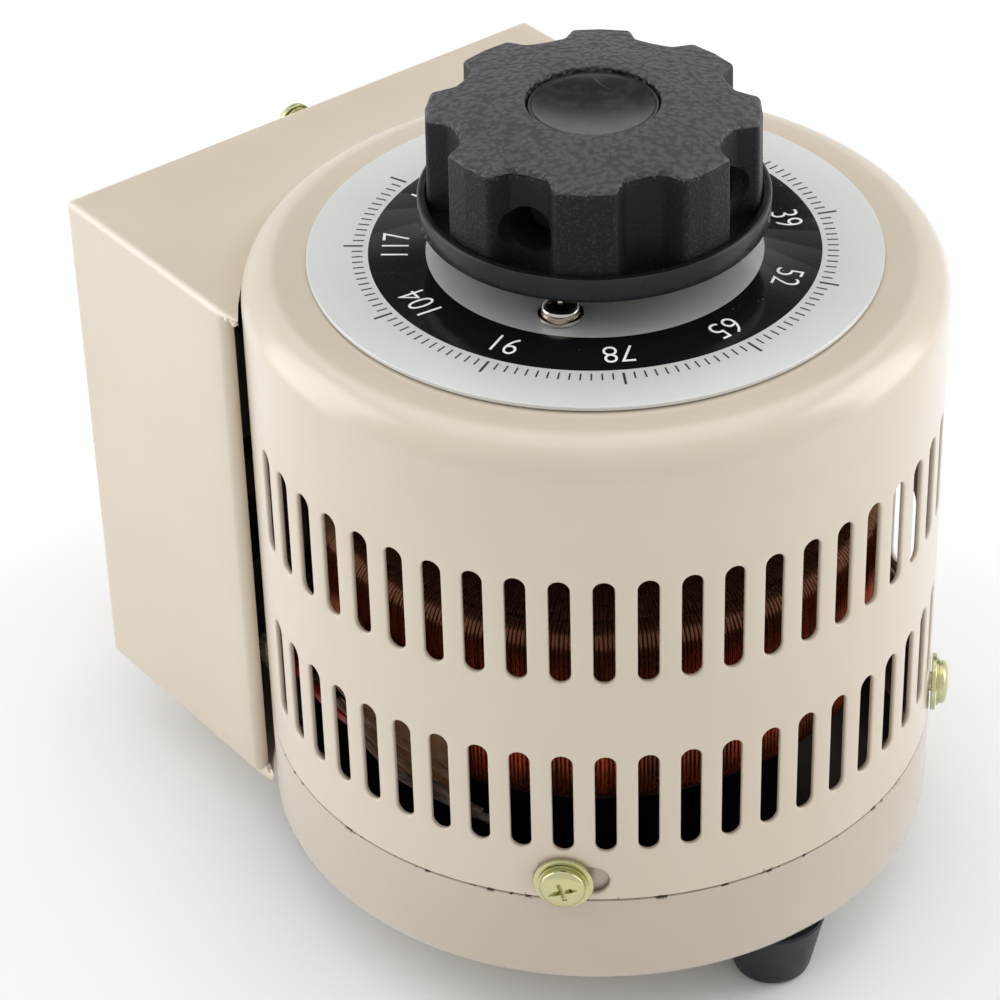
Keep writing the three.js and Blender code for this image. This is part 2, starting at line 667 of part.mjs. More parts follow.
function meterCase() {
  const { width, height, z, barrel, reach } = METER;
  const rim = plate(roundedRect(0, z, width, height, 3), METER_BACK_Y - 3, METER_BACK_Y, 2);
  const body = outOfPanel(rod(barrel, -reach, 1, 36), 0, METER_BACK_Y, z);
  const cavity = outOfPanel(rod(barrel - 1.5, -reach + 2, 9, 36), 0, METER_BACK_Y, z);
  return cut(union(rim, body), cavity);
}
part("meter_case", meterCase(), MATERIALS.black);

function meterDial() {
  const { width, height, z } = METER;
  const sheet = plate(
    roundedRect(0, z + 4.5, width - 6, height - 15, 1.5), METER_BACK_Y - 4.1, METER_BACK_Y - 3.3, 2,
  );
  const pivotHole = outOfPanel(rod(3, -2, 8, 16), 0, METER_BACK_Y, METER_PIVOT_Z);
  return cut(sheet, pivotHole);
}
part("meter_dial", meterDial(), MATERIALS.white);

// The needle stands at its zero, to the left, on a small pivot boss.
function meterNeedle() {
  const [y0, y1] = [METER_BACK_Y - 5.4, METER_BACK_Y - 4.9];
  const blade = plate(
    new THREE.Shape([
      new THREE.Vector2(-0.45, -3), new THREE.Vector2(0.45, -3),
      new THREE.Vector2(0.2, 26), new THREE.Vector2(-0.2, 26),
    ]),
    y0, y1,
  );
  const boss = outOfPanel(rod(2.2, -1.5, 5.8, 16), 0, METER_BACK_Y, 0);
  return union(blade, boss).rotate([0, -NEEDLE_DEG, 0]).translate([0, 0, METER_PIVOT_Z]);
}
part("meter_needle", meterNeedle(), MATERIALS.gloss);

// Clear front moulding: a shallow lid over the scale.
function meterWindow() {
  const { width, height, z } = METER;
  const y1 = METER_BACK_Y - 3 - GAP;
  const lid = plate(roundedRect(0, z, width, height, 3), METER_FACE_Y, y1, 2);
  const room = plate(roundedRect(0, z, width - 3.2, height - 3.2, 2), METER_FACE_Y + 1.6, y1 + 1, 2);
  const screwHole = outOfPanel(rod(2.6, 2, 12, 16), 0, METER_BACK_Y, z - height / 2 + 6.5);
  return cut(lid, room, screwHole);
}
part("meter_window", meterWindow(), MATERIALS.clear);

// Black strip across the foot of the meter, behind the clear front, round its adjuster.
const ADJUSTER_Z = METER.z - METER.height / 2 + 6.5;
function meterMask() {
  const { width, height, z } = METER;
  const [y0, y1] = [METER_FACE_Y + 1.6 + GAP, METER_BACK_Y - 3 - GAP];
  const low = z - height / 2 + 1.6 + GAP;
  const inside = width - 3.2 - 2 * GAP;
  const strip = plate(roundedRect(0, low + 3.9, inside, 7.8, 1.8), y0, y1, 1);
  return cut(strip, outOfPanel(rod(2.6, 2, 12, 16), 0, METER_BACK_Y, ADJUSTER_Z));
}
part("meter_mask", meterMask(), MATERIALS.gloss);

function meterAdjuster() {
  const head = cut(rod(2.2, 3.6, 9.4, 18), box(-3, 3, -0.35, 0.35, 8.6, 10));
  return outOfPanel(turned(head, 15), 0, METER_BACK_Y, ADJUSTER_Z);
}
part("meter_adjuster", meterAdjuster(), MATERIALS.black);

// ---------------------------------------------------------------- switch, outlet, fuse, gland

const ROCKER_PIVOT_Y = PANEL_FACE_Y + 1.5;

function switchBody() {
  const { x, z, width, height } = SWITCH;
  const seatY = PANEL_FACE_Y - GAP;
  const bezel = plate(roundedRect(x, z, width + 3, height + 3, 2), seatY - 2, seatY, 2);
  const inset = (dx, dz, y0, y1) =>
    box(x - width / 2 + dx, x + width / 2 - dx, y0, y1, z - height / 2 + dz, z + height / 2 - dz);
  const body = inset(1, 1, seatY - 1, PANEL_FACE_Y + 16);
  const well = inset(2.4, 2, PANEL_FACE_Y - 4, PANEL_FACE_Y + 9);
  return cut(union(bezel, body), well);
}
part("switch_body", switchBody(), MATERIALS.black);

function switchRocker() {
  const { x, z, width, height, tilt } = SWITCH;
  const [halfW, halfH] = [width / 2 - 2.4 - GAP, height / 2 - 2.9];
  const profile = new THREE.Shape([
    [-halfH, -3.2], [-halfH * 0.4, -1.9], [0, -1.6], [halfH * 0.4, -1.9], [halfH, -3.2], [halfH, 0.6],
    [3, 4.5], [-3, 4.5], [-halfH, 0.6],
  ].map(([v, y]) => new THREE.Vector2(y, v)));
  const geometry = new THREE.ExtrudeGeometry(profile, { depth: 2 * halfW, bevelEnabled: false });
  // The extrusion runs along Z with Y up; turn it so that it runs along X with Z up.
  const body = solid(geometry.translate(0, 0, -halfW).rotateY(Math.PI / 2).rotateX(Math.PI / 2));
  return body.rotate([tilt, 0, 0]).translate([x, ROCKER_PIVOT_Y, z]);
}
part("switch_rocker", switchRocker(), MATERIALS.red);

// Two-blade outlet with an earth hole.
function outlet() {
  const { x, z, width, height } = OUTLET;
  const face = plate(roundedRect(x, z, width, height, 4), PANEL_FACE_Y - GAP - 3, PANEL_FACE_Y - GAP, 3);
  const body = plate(
    roundedRect(x, z, width - 6, height - 6, 3), PANEL_FACE_Y - GAP - 1, PANEL_FACE_Y + 19, 2,
  );
  const blade = (dx, h) =>
    box(x + dx - 1.1, x + dx + 1.1, PANEL_FACE_Y - 5, PANEL_FACE_Y + 14, z + 3 - h / 2, z + 3 + h / 2);
  const earth = outOfPanel(rod(2.6, -14, 5, 14), x, PANEL_FACE_Y, z - 6.5);
  return cut(union(face, body), blade(-6.35, 8), blade(6.35, 6.6), earth);
}
part("outlet", outlet(), MATERIALS.black);

// Panel fuse holder: a threaded barrel with a knurled cap that draws the fuse out.
const FUSE_MOUTH_Y = PANEL_FACE_Y - GAP - 2.2;
function fuseHolder() {
  const collar = ring(4.3, FUSE.r, 0, 2.2, 18);
  const barrel = ring(4.3, 6, -27, 1, 18);
  const floor = rod(6, -28, -26, 18);
  return outOfPanel(union(collar, barrel, floor), FUSE.x, PANEL_FACE_Y - GAP, FUSE.z);
}
part("fuse_holder", fuseHolder(), MATERIALS.black);

function fuseCap() {
  const cap = lathe([[0, GAP], [6.6, GAP], [6.6, 7], [5.9, 8.4], [0, 8.4]], 24);
  const stem = rod(3.9, -5, 1, 18);
  const socket = rod(2.8, -6, -1.4, 18);
  const slot = box(-5, 5, -0.7, 0.7, 7.2, 9);
  return outOfPanel(cut(union(cap, stem), socket, slot), FUSE.x, FUSE_MOUTH_Y, FUSE.z);
}
part("fuse_cap", fuseCap(), MATERIALS.black);
part("fuse_link", outOfPanel(rod(2.5, -22, -1.7, 14), FUSE.x, FUSE_MOUTH_Y, FUSE.z), MATERIALS.glass);

// Cable gland with its dome nut, mouth forwards, and the locknut inside the box.
function cableGland() {
  const body = union(
    rod(GLAND.r, 0, 4.5, 6),
    rod(6, -9, 1, 16),
    lathe([[0, 4], [8.2, 4], [8.2, 9.5], [7, 13.6], [5.2, 15.2], [0, 15.2]], 16),
  );
  return outOfPanel(cut(body, rod(3.6, -10, 17, 14)), GLAND.x, PANEL_FACE_Y - GAP, GLAND.z);
}
part("cable_gland", cableGland(), MATERIALS.black);
part(
  "gland_nut",
  outOfPanel(hexNut(17, 6 + GAP, -7.6, -3.6), GLAND.x, PANEL_FACE_Y - GAP, GLAND.z),
  MATERIALS.black,
);

// ---------------------------------------------------------------- wiring inside

function terminalBoard() {
  const wallX = BOX.half - BOX.wall - GAP;
  const strip = box(wallX - 3, wallX, -84, -62, 68, 112);
  const posts = [74, 84, 94, 104].map((z) =>
    at(rod(2.6, -4, 0, 14).rotate([0, 90, 0]), wallX - 2.8, -73, z),
  );
  return union(strip, ...posts);
}
part("terminal_board", terminalBoard(), MATERIALS.phenolic);

// Output lead: from the terminal board, under the meter, in at the window and round the coil.
const LEAD_R = 1.1;
const outputLead = wire(
  [
    [46.5, -73, 84], [41, -75, 78], [34, -76, 66], [24, -75.5, 62.5], [14, -72, 62], [8, -67, 61],
    [8, -62.5, 59], [20, -58, 56], [34, -51, 54], [47, -39.5, 54], [56, -25, 55], [60, -10, 56],
    [60.8, 2, 57],
  ],
  LEAD_R, 30,
);
part("output_lead", outputLead, MATERIALS.redWire);
const supplyLead = wire(
  [
    [46.5, -73, 74], [39, -77, 68], [30, -79, 64.5], [16, -76, 65], [2, -71, 65.5], [-5, -66, 66],
    [-5, -61, 67], [-2, -57, 70],
  ],
  LEAD_R, 18,
);
part("supply_lead", supplyLead, MATERIALS.phenolic);

export default assembly;
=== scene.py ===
"""Bench variac with a control box: materials, detailed pieces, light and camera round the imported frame."""

import json
import math
import random

import bmesh
import bpy
from mathutils import Matrix, Vector
from mathutils.geometry import delaunay_2d_cdt


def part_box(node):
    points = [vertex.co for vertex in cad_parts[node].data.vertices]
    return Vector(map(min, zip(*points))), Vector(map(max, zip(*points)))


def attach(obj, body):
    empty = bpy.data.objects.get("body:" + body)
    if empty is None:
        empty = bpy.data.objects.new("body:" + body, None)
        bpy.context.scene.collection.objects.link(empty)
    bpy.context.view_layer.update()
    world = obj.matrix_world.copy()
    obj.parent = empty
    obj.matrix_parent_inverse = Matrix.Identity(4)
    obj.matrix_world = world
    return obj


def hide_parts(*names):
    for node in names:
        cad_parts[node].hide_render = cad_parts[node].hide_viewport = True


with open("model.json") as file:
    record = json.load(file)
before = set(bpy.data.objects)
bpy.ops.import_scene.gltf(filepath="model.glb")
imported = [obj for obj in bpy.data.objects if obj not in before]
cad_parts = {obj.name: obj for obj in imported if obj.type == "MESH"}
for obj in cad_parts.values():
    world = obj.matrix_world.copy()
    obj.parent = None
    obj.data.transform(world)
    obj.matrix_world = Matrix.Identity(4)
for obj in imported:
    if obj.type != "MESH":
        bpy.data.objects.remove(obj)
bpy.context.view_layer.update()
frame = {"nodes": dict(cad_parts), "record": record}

# ------------------------------------------------------------------ shared sizes, in millimetres
# Shapes are drawn in drum millimetres: the origin on the shaft's axis, at the floor.

MM = 0.001
shaft_low, shaft_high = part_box("shaft")
TO_FRAME = Matrix.Translation(((shaft_low.x + shaft_high.x) / 2, (shaft_low.y + shaft_high.y) / 2, 0))
TO_FRAME = TO_FRAME @ Matrix.Scale(MM, 4)
FROM_FRAME = TO_FRAME.inverted()


def drum_box(node):
    """A CAD node's lowest and highest corner in drum millimetres."""
    low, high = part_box(node)
    return FROM_FRAME @ low, FROM_FRAME @ high


DRUM_R = drum_box("top_cover")[1].x
COVER_BOTTOM = drum_box("top_cover")[0].z
COVER_TOP = drum_box("top_cover")[1].z
SHEET = 1.0
SHOULDER_R = 7.0
PITCHES = 52
PITCH = 2 * math.pi * DRUM_R / PITCHES
SLOTS = 32
SLOT_HALF_W = 1.95
SLOT_HALF_H = 11.15
SLOT_ROWS = (58.3, 97.5)
COVER_SCREW_DEG = (45, 135, 225, 315)
COVER_SCREW_Z = 40.1

# ------------------------------------------------------------------ mesh tools


def polar(r, degrees):
    a = math.radians(degrees)
    return r * math.cos(a), r * math.sin(a)


def arc(cx, cy, r, start, end, steps):
    """Points of an arc in a plane, in degrees."""
    points = []
    for i in range(steps + 1):
        x, y = polar(r, start + (end - start) * i / steps)
        points.append((cx + x, cy + y))
    return points


class Shape:
    """Vertices and faces in drum millimetres. A face's kind is its material's place in the list."""

    def __init__(self):
        self.verts, self.faces, self.kinds = [], [], []

    def add(self, verts, faces, kind=0):
        base = len(self.verts)
        self.verts += [Vector(v) for v in verts]
        self.faces += [tuple(base + i for i in f) for f in faces]
        self.kinds += [kind] * len(faces)
        return self

    def grid(self, rows, close=False, kind=0, flip=False):
        """Quads between rows of points; close joins each row's last point to its first."""
        wide = len(rows[0])
        faces = []
        for i in range(len(rows) - 1):
            for j in range(wide if close else wide - 1):
                k = (j + 1) % wide
                quad = (i * wide + j, i * wide + k, (i + 1) * wide + k, (i + 1) * wide + j)
                faces.append(quad[::-1] if flip else quad)
        return self.add([p for row in rows for p in row], faces, kind)

    def moved(self, matrix):
        made = Shape()
        made.verts = [matrix @ v for v in self.verts]
        made.faces, made.kinds = list(self.faces), list(self.kinds)
        return made

    def join(self, *others):
        for other in others:
            base = len(self.verts)
            self.verts += other.verts
            self.faces += [tuple(base + i for i in f) for f in other.faces]
            self.kinds += other.kinds
        return self


def lathe(profile, segments=64, kind=0):
    """Turns (radius, height) points about Z. A closed outline repeats its first point."""
    rows = [[(*polar(r, 360 * j / segments), z) for j in range(segments)] for r, z in profile]
    return Shape().grid(rows, close=True, kind=kind)


def solid_turn(profile, segments=64):
    """A lathe whose outline starts and ends on the axis."""
    return lathe([(0, profile[0][1]), *profile, (0, profile[-1][1])], segments)


def closed_turn(profile, segments=64):
    return lathe([*profile, profile[0]], segments)


def ellipse_loop(r, steps=48):
    """A round outline as a function of how far it is grown."""
    return lambda grow: [polar(r + grow, 360 * i / steps) for i in range(steps)]


def rect_loop(width, height, corner, steps=6, centre=(0, 0)):
    """A rounded rectangle as a function of how far it is grown."""

    def points(grow):
        r = max(corner + grow, 0.01)
        x, y = width / 2 + grow - r, height / 2 + grow - r
        made = []
        for sx, sy, start in ((1, 1, 0), (-1, 1, 90), (-1, -1, 180), (1, -1, 270)):
            made += arc(centre[0] + sx * x, centre[1] + sy * y, r, start, start + 90, steps)
        return made

    return points


def shifted(loop, x, y):
    return lambda grow: [(px + x, py + y) for px, py in loop(grow)]


def inside(point, loop):
    """Whether a point lies within a closed outline."""
    x, y = point
    hit = False
    for (x0, y0), (x1, y1) in zip(loop, loop[1:] + loop[:1]):
        if (y0 > y) != (y1 > y) and x < (x1 - x0) * (y - y0) / (y1 - y0) + x0:
            hit = not hit
    return hit


def fill(outer, holes):
    """Triangles between an outline and the holes in it: (points, faces)."""
    points, edges = [], []
    for loop in (outer, *holes):
        base = len(points)
        points += [Vector(p) for p in loop]
        edges += [(base + i, base + (i + 1) % len(loop)) for i in range(len(loop))]
    made, _, faces, *_ = delaunay_2d_cdt(points, edges, [], 0, 1e-6)
    kept = []
    for face in faces:
        middle = sum((made[i] for i in face), Vector((0, 0))) / len(face)
        if inside(middle, outer) and not any(inside(middle, h) for h in holes):
            kept.append(tuple(face))
    return [tuple(p) for p in made], kept


def plate(outer, holes, thick, edge=0.3, back_edge=0.1, kind=0):
    """A sheet with rounded edges, its back on z = 0 and its face at z = thick."""
    made = Shape()
    steps = 3
    turn = [90 * i / steps for i in range(steps + 1)]
    inset = [(edge * (1 - math.sin(math.radians(a))), thick - edge * (1 - math.cos(math.radians(a))))
             for a in turn]
    profile = inset + [(0, back_edge), (back_edge, 0)]
    for loop, sign in [(outer, -1), *[(h, 1) for h in holes]]:
        rows = [[(*p, z) for p in loop(sign * grow)] for grow, z in profile]
        made.grid(rows, close=True, kind=kind, flip=sign < 0)
    for grow, z, flip in ((edge, thick, False), (back_edge, 0, True)):
        points, faces = fill(outer(-grow), [h(grow) for h in holes])
        faces = [f[::-1] for f in faces] if flip else faces
        made.add([(*p, z) for p in points], faces, kind)
    return made


def block(x0, x1, y0, y1, z0, z1):
    outline = [(x0, y0), (x1, y0), (x1, y1), (x0, y1)]
    made = Shape()
    made.add([(*p, z) for z in (z0, z1) for p in outline],
             [(3, 2, 1, 0), (4, 5, 6, 7), *[(i, (i + 1) % 4, 4 + (i + 1) % 4, 4 + i) for i in range(4)]])
    return made


def tube(path, r, sides=10):
    """A round tube along points, closed at both ends."""
    path = [Vector(p) for p in path]
    rows = []
    side = None
    for i, p in enumerate(path):
        along = (path[min(i + 1, len(path) - 1)] - path[max(i - 1, 0)]).normalized()
        if side is None:
            side = along.orthogonal().normalized()
        side = (side - along * side.dot(along)).normalized()
        up = along.cross(side)
        rows.append([p + side * (r * math.cos(2 * math.pi * j / sides))
                     + up * (r * math.sin(2 * math.pi * j / sides)) for j in range(sides)])
    return Shape().grid([[path[0]] * sides, *rows, [path[-1]] * sides], close=True)


def to_mesh(name, shape, weld=0.002):
    """The shape as a welded mesh with its faces turned outwards, in drum millimetres."""
    mesh = bpy.data.meshes.new(name)
    mesh.from_pydata(shape.verts, [], shape.faces)
    mesh.polygons.foreach_set("material_index", shape.kinds)
    work = bmesh.new()
    work.from_mesh(mesh)
    bmesh.ops.remove_doubles(work, verts=work.verts, dist=weld)
    bmesh.ops.dissolve_degenerate(work, edges=work.edges, dist=weld / 4)
    bmesh.ops.recalc_face_normals(work, faces=work.faces)
    work.to_mesh(mesh)
    work.free()
    return mesh


def carve(mesh, *cutters):
    """The mesh less each cutter shape."""
    body = bpy.data.objects.new(mesh.name, mesh)
    bpy.context.scene.collection.objects.link(body)
    tools = []
    for i, shape in enumerate(cutters):
        tool = bpy.data.objects.new(f"{mesh.name}_tool{i}", to_mesh("tool", shape))
        bpy.context.scene.collection.objects.link(tool)
        change = body.modifiers.new("cut", "BOOLEAN")
        change.operation, change.solver, change.object = "DIFFERENCE", "EXACT", tool
        tools.append(tool)
    graph = bpy.context.evaluated_depsgraph_get()
    made = bpy.data.meshes.new_from_object(body.evaluated_get(graph))
    made.name = mesh.name
    for thing in (body, *tools):
        bpy.data.objects.remove(thing)
    return made


def make(name, shape, finish, body="frame", nodes=(), sharp=35, place=None, weld=0.002):
    """Adds a piece: shape or mesh in drum millimetres, its materials, its body and what it replaces."""
    mesh = shape.copy() if isinstance(shape, bpy.types.Mesh) else to_mesh(name, shape, weld)
    mesh.name = name
    mesh.transform(TO_FRAME @ place if place else TO_FRAME)
    mesh.polygons.foreach_set("use_smooth", [True] * len(mesh.polygons))
    mesh.set_sharp_from_angle(angle=math.radians(sharp))
    mesh.materials.clear()
    for material in finish if isinstance(finish, (list, tuple)) else [finish]:
        mesh.materials.append(material)
    piece = bpy.data.objects.new(name, mesh)
    bpy.context.scene.collection.objects.link(piece)
    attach(piece, body)
    if nodes:
        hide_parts(*nodes)
    return piece


def on_panel(x, z, y):
    """Local Z out of the control panel, local Y up."""
    return Matrix.Translation((x, y, z)) @ Matrix.Rotation(math.pi / 2, 4, "X")


def on_drum(degrees, r, z, spin=0):
    """Local Z outwards from the drum's axis."""
    turn = Matrix.Rotation(math.radians(degrees), 4, "Z")
    return (turn @ Matrix.Translation((r, 0, z)) @ Matrix.Rotation(math.pi / 2, 4, "Y")
            @ Matrix.Rotation(math.radians(spin), 4, "Z"))


def upright(x, y, z, spin=0):
    return Matrix.Translation((x, y, z)) @ Matrix.Rotation(math.radians(spin), 4, "Z")

# ------------------------------------------------------------------ materials


class Nodes:
    """A material's node tree with short calls for the nodes used here."""

    def __init__(self, name):
        self.material = bpy.data.materials.new(name)
        self.material.use_nodes = True
        self.tree = self.material.node_tree
        self.shader = self.tree.nodes["Principled BSDF"]
        self.place = self.new("ShaderNodeTexCoord").outputs["Object"]

    def new(self, kind, **settings):
        node = self.tree.nodes.new(kind)
        for key, value in settings.items():
            setattr(node, key, value)
        return node

    def put(self, socket, value):
        if isinstance(value, bpy.types.NodeSocket):
            self.tree.links.new(value, socket)
        elif value is not None:
            socket.default_value = value

    def set(self, **values):
        """Shader sockets by name, such as base_color."""
        for key, value in values.items():
            self.put(self.shader.inputs[key.replace("_", " ").title().replace("Ior", "IOR")], value)
        return self

    def math(self, operation, a, b=None, c=None):
        node = self.new("ShaderNodeMath", operation=operation)
        for socket, value in zip(node.inputs, (a, b, c)):
            self.put(socket, value)
        return node.outputs[0]

    def ramp(self, value, low, high, out_low=0.0, out_high=1.0, smooth=True):
        node = self.new("ShaderNodeMapRange")
        node.interpolation_type = "SMOOTHSTEP" if smooth else "LINEAR"
        for key, item in (("Value", value), ("From Min", low), ("From Max", high),
                          ("To Min", out_low), ("To Max", out_high)):
            self.put(node.inputs[key], item)
        return node.outputs[0]

    def mix(self, factor, a, b):
        node = self.new("ShaderNodeMix", data_type="RGBA")
        self.put(node.inputs["Factor"], factor)
        for socket, value in ((node.inputs[6], a), (node.inputs[7], b)):
            self.put(socket, (*value, 1) if isinstance(value, tuple) and len(value) == 3 else value)
        return node.outputs[2]

    def noise(self, per_mm, detail=3.0, rough=0.5, stretch=(1, 1, 1)):
        """Noise over the surface, with about per_mm features to a millimetre."""
        node = self.new("ShaderNodeTexNoise")
        self.put(node.inputs["Vector"], self.scaled(stretch))
        node.inputs["Scale"].default_value = per_mm / MM
        node.inputs["Detail"].default_value = detail
        node.inputs["Roughness"].default_value = rough
        return node.outputs["Fac"]

    def cells(self, per_mm, feature="F1", stretch=(1, 1, 1)):
        node = self.new("ShaderNodeTexVoronoi", feature=feature)
        self.put(node.inputs["Vector"], self.scaled(stretch))
        node.inputs["Scale"].default_value = per_mm / MM
        return node.outputs["Distance"]

    def scaled(self, stretch):
        if stretch == (1, 1, 1):
            return self.place
        node = self.new("ShaderNodeVectorMath", operation="MULTIPLY")
        self.put(node.inputs[0], self.place)
        node.inputs[1].default_value = stretch
        return node.outputs[0]

    def axes(self, centre=(0, 0, 0)):
        """X, Y and Z in millimetres from a point given in drum millimetres."""
        node = self.new("ShaderNodeVectorMath", operation="SUBTRACT")
        self.put(node.inputs[0], self.place)
        node.inputs[1].default_value = TO_FRAME @ Vector(centre)
        parts = self.new("ShaderNodeSeparateXYZ")
        self.put(parts.inputs[0], node.outputs[0])
        return [self.math("MULTIPLY", parts.outputs[i], 1 / MM) for i in range(3)]

    def radius(self, x, y):
        return self.math("SQRT", self.math("ADD", self.math("MULTIPLY", x, x),
                                           self.math("MULTIPLY", y, y)))

    def bump(self, height, depth_mm, strength=1.0):
        node = self.new("ShaderNodeBump")
        node.inputs["Strength"].default_value = strength
        node.inputs["Distance"].default_value = depth_mm * MM
        self.put(node.inputs["Height"], height)
        self.tree.links.new(node.outputs[0], self.shader.inputs["Normal"])
        return self


BOX_LOW, BOX_HIGH = drum_box("control_box")
BOX_HALF, BOX_FRONT, BOX_TOP, BOX_BOTTOM = BOX_HIGH.x, BOX_LOW.y, BOX_HIGH.z, BOX_LOW.z

CREAM = (0.61, 0.535, 0.425)
CREAM_WARM = (0.58, 0.495, 0.38)
PRIMER = (0.30, 0.055, 0.035)
SOOT = (0.05, 0.035, 0.025)


def enamel(name, light=CREAM, dark=CREAM_WARM, chips_and_painted_light=None, gloss=0.3):
    """Sprayed enamel: faint orange peel, small dark specks, and what its hook paints on: chipped paint, and
    on some parts painted shade and a painted highlight.
    """
    n = Nodes(name)
    broad = n.noise(0.012, 4.0, 0.6)
    colour = n.mix(n.ramp(broad, 0.35, 0.7), light, dark)
    specks = n.ramp(n.noise(1.7, 2.0, 0.5), 0.755, 0.775)
    colour = n.mix(n.math("MULTIPLY", specks, 0.4), colour, tuple(0.5 * c for c in dark))
    if chips_and_painted_light:
        colour = chips_and_painted_light(n, colour)
    scuff = n.noise(0.03, 4.0, 0.55)
    n.set(base_color=colour, roughness=n.ramp(scuff, 0.3, 0.75, gloss, gloss + 0.08),
          specular_ior_level=0.7, coat_weight=0.9, coat_roughness=0.22)
    peel = n.noise(0.30, 1.0, 0.4)
    return n.bump(peel, 0.012, 0.4).material


def edge_chips(z, spread, colour, share=0.72, per_mm=0.42):
    """Small spots of chipped paint close to one height."""

    def paint(n, base):
        away = n.math("ABSOLUTE", n.math("SUBTRACT", n.axes()[2], z))
        close = n.ramp(away, 0.0, spread, 1.0, 0.0)
        spots = n.ramp(n.math("ADD", n.noise(per_mm, 3.0, 0.7), n.math("MULTIPLY", close, 0.12)),
                       share, share + 0.02)
        return n.mix(n.math("MULTIPLY", spots, close), base, colour)

    return paint


def box_chips(n, base):
    """Bare primer along the folds and the raw edges of the control box, and paler paint along the folds that
    is partly wear and partly a painted highlight.
    """
    x, y, z = n.axes((0, BOX_FRONT, BOX_TOP))
    side = n.math("SUBTRACT", BOX_HALF, n.math("ABSOLUTE", x))
    near = n.math("MINIMUM", n.math("MAXIMUM", n.math("ABSOLUTE", z), side),
                  n.math("MINIMUM", n.math("MAXIMUM", n.math("ABSOLUTE", y), side),
                         n.math("MAXIMUM", n.math("ABSOLUTE", y), n.math("ABSOLUTE", z))))
    close = n.ramp(near, 0.3, 3.5, 1.0, 0.0)
    spots = n.ramp(n.noise(0.5, 3.0, 0.6), 0.70, 0.72)
    base = n.mix(n.math("MULTIPLY", spots, close), base, PRIMER)
    # Partly wear, partly a painted highlight: the paint turns near white along the folds.
    wear_and_sheen = n.ramp(near, 0.2, 1.6, 0.45, 0.0)
    return n.mix(n.math("MULTIPLY", wear_and_sheen, n.noise(0.06, 3.0)), base, (0.93, 0.88, 0.80))


def moulded(name, colour, rough, grain=0.0, per_mm=1.5, wear_and_sheen=None, spots=0.0):
    """Moulded plastic or rubber: slight mottle, an even grain, and pale specks of wear."""
    n = Nodes(name)
    tone = n.mix(n.noise(0.15, 3.0), colour, tuple(min(1.0, 1.35 * c + 0.004) for c in colour))
    if spots:
        dust = n.ramp(n.noise(1.4, 2.0, 0.6), 0.70, 0.74)
        tone = n.mix(n.math("MULTIPLY", dust, spots), tone, (0.35, 0.35, 0.36))
    if wear_and_sheen:
        tone = wear_and_sheen(n, tone)
    n.set(base_color=tone, roughness=n.ramp(n.noise(0.3, 3.0), 0.3, 0.7, rough - 0.04, rough + 0.06),
          specular_ior_level=0.32)
    if grain:
        n.bump(n.noise(per_mm, 3.0, 0.6), grain)
    return n.material


def metal(name, colour, rough, brushed=(1, 1, 1), streak=0.15, tint=None, depth=0.01):
    """Bare or plated metal, with streaks along the brushed direction and patches of a second tint."""
    n = Nodes(name)
    tone = n.mix(n.noise(0.25, 3.0, 0.5), colour, tint or tuple(0.8 * c for c in colour))
    lines = n.noise(0.8, 4.0, 0.6, brushed)
    n.set(base_color=tone, metallic=1.0,
          roughness=n.ramp(lines, 0.3, 0.7, max(rough - streak / 2, 0.05), rough + streak / 2))
    return n.bump(lines, depth, 0.4).material


# ------------------------------------------------------------------ the drum's cover

CORNER_STEPS = 6  # of a slot's quarter turn
CELL_HALF = PITCH / 2
STRAIGHT = SLOT_HALF_H - SLOT_HALF_W
CELL_HALF_H = STRAIGHT + CELL_HALF
FINE = [CELL_HALF * math.tan(math.radians(15 * i)) for i in range(4)]
CELL_X = [-v for v in FINE[:0:-1]] + FINE
CELL_Z = [-CELL_HALF_H] + [-STRAIGHT - v for v in FINE[2::-1]] + [0] + [STRAIGHT + v for v in FINE]
RIM = ((0.45, 0.0), (0.2, 0.05), (0.06, 0.18), (0.0, 0.4), (0.0, 0.8), (0.08, 0.95), (0.2, SHEET))
SCREW_SLOT = (14.0, 6.2)
SCREW_SLOT_SHIFT = 1.5
BAND_BOTTOM = COVER_BOTTOM + 0.6
WINDOW_PITCHES = 2  # cells each side of -Y left open for the wiring


def on_skin(x, z, depth):
    """A point x mm round the drum from +Y, at a depth below the cover's face."""
    a = math.pi / 2 + x / DRUM_R
    return ((DRUM_R - depth) * math.cos(a), (DRUM_R - depth) * math.sin(a), z)


def obround(half_w, half_h, grow):
    """An upright slot's outline from its right side, and the cell's outline point for point."""
    r, reach = half_w + grow, half_h - half_w
    slot, cell = [], []
    for quarter, (sx, sz) in enumerate(((1, 1), (-1, 1), (-1, -1), (1, -1))):
        steps = range(CORNER_STEPS + 1) if quarter % 2 == 0 else range(CORNER_STEPS, -1, -1)
        for i in steps:
            x, z = polar(r, 15 * i)
            slot.append((sx * x, sz * (z + reach)))
            wide = CELL_HALF if i <= 3 else CELL_HALF * math.tan(math.radians(15 * (6 - i)))
            tall = CELL_HALF if i >= 3 else CELL_HALF * math.tan(math.radians(15 * i))
            cell.append((sx * wide, sz * (tall + reach)))
    return slot, cell


def with_middles(loop):
    """The loop with the middle of each straight side put in, where the neighbours have a vertex."""
    made = []
    for i, p in enumerate(loop):
        made.append(p)
        q = loop[(i + 1) % len(loop)]
        if abs(p[1] + q[1]) < 1e-6 and abs(p[1]) > 1:
            made.append(((p[0] + q[0]) / 2, 0.0))
    return made


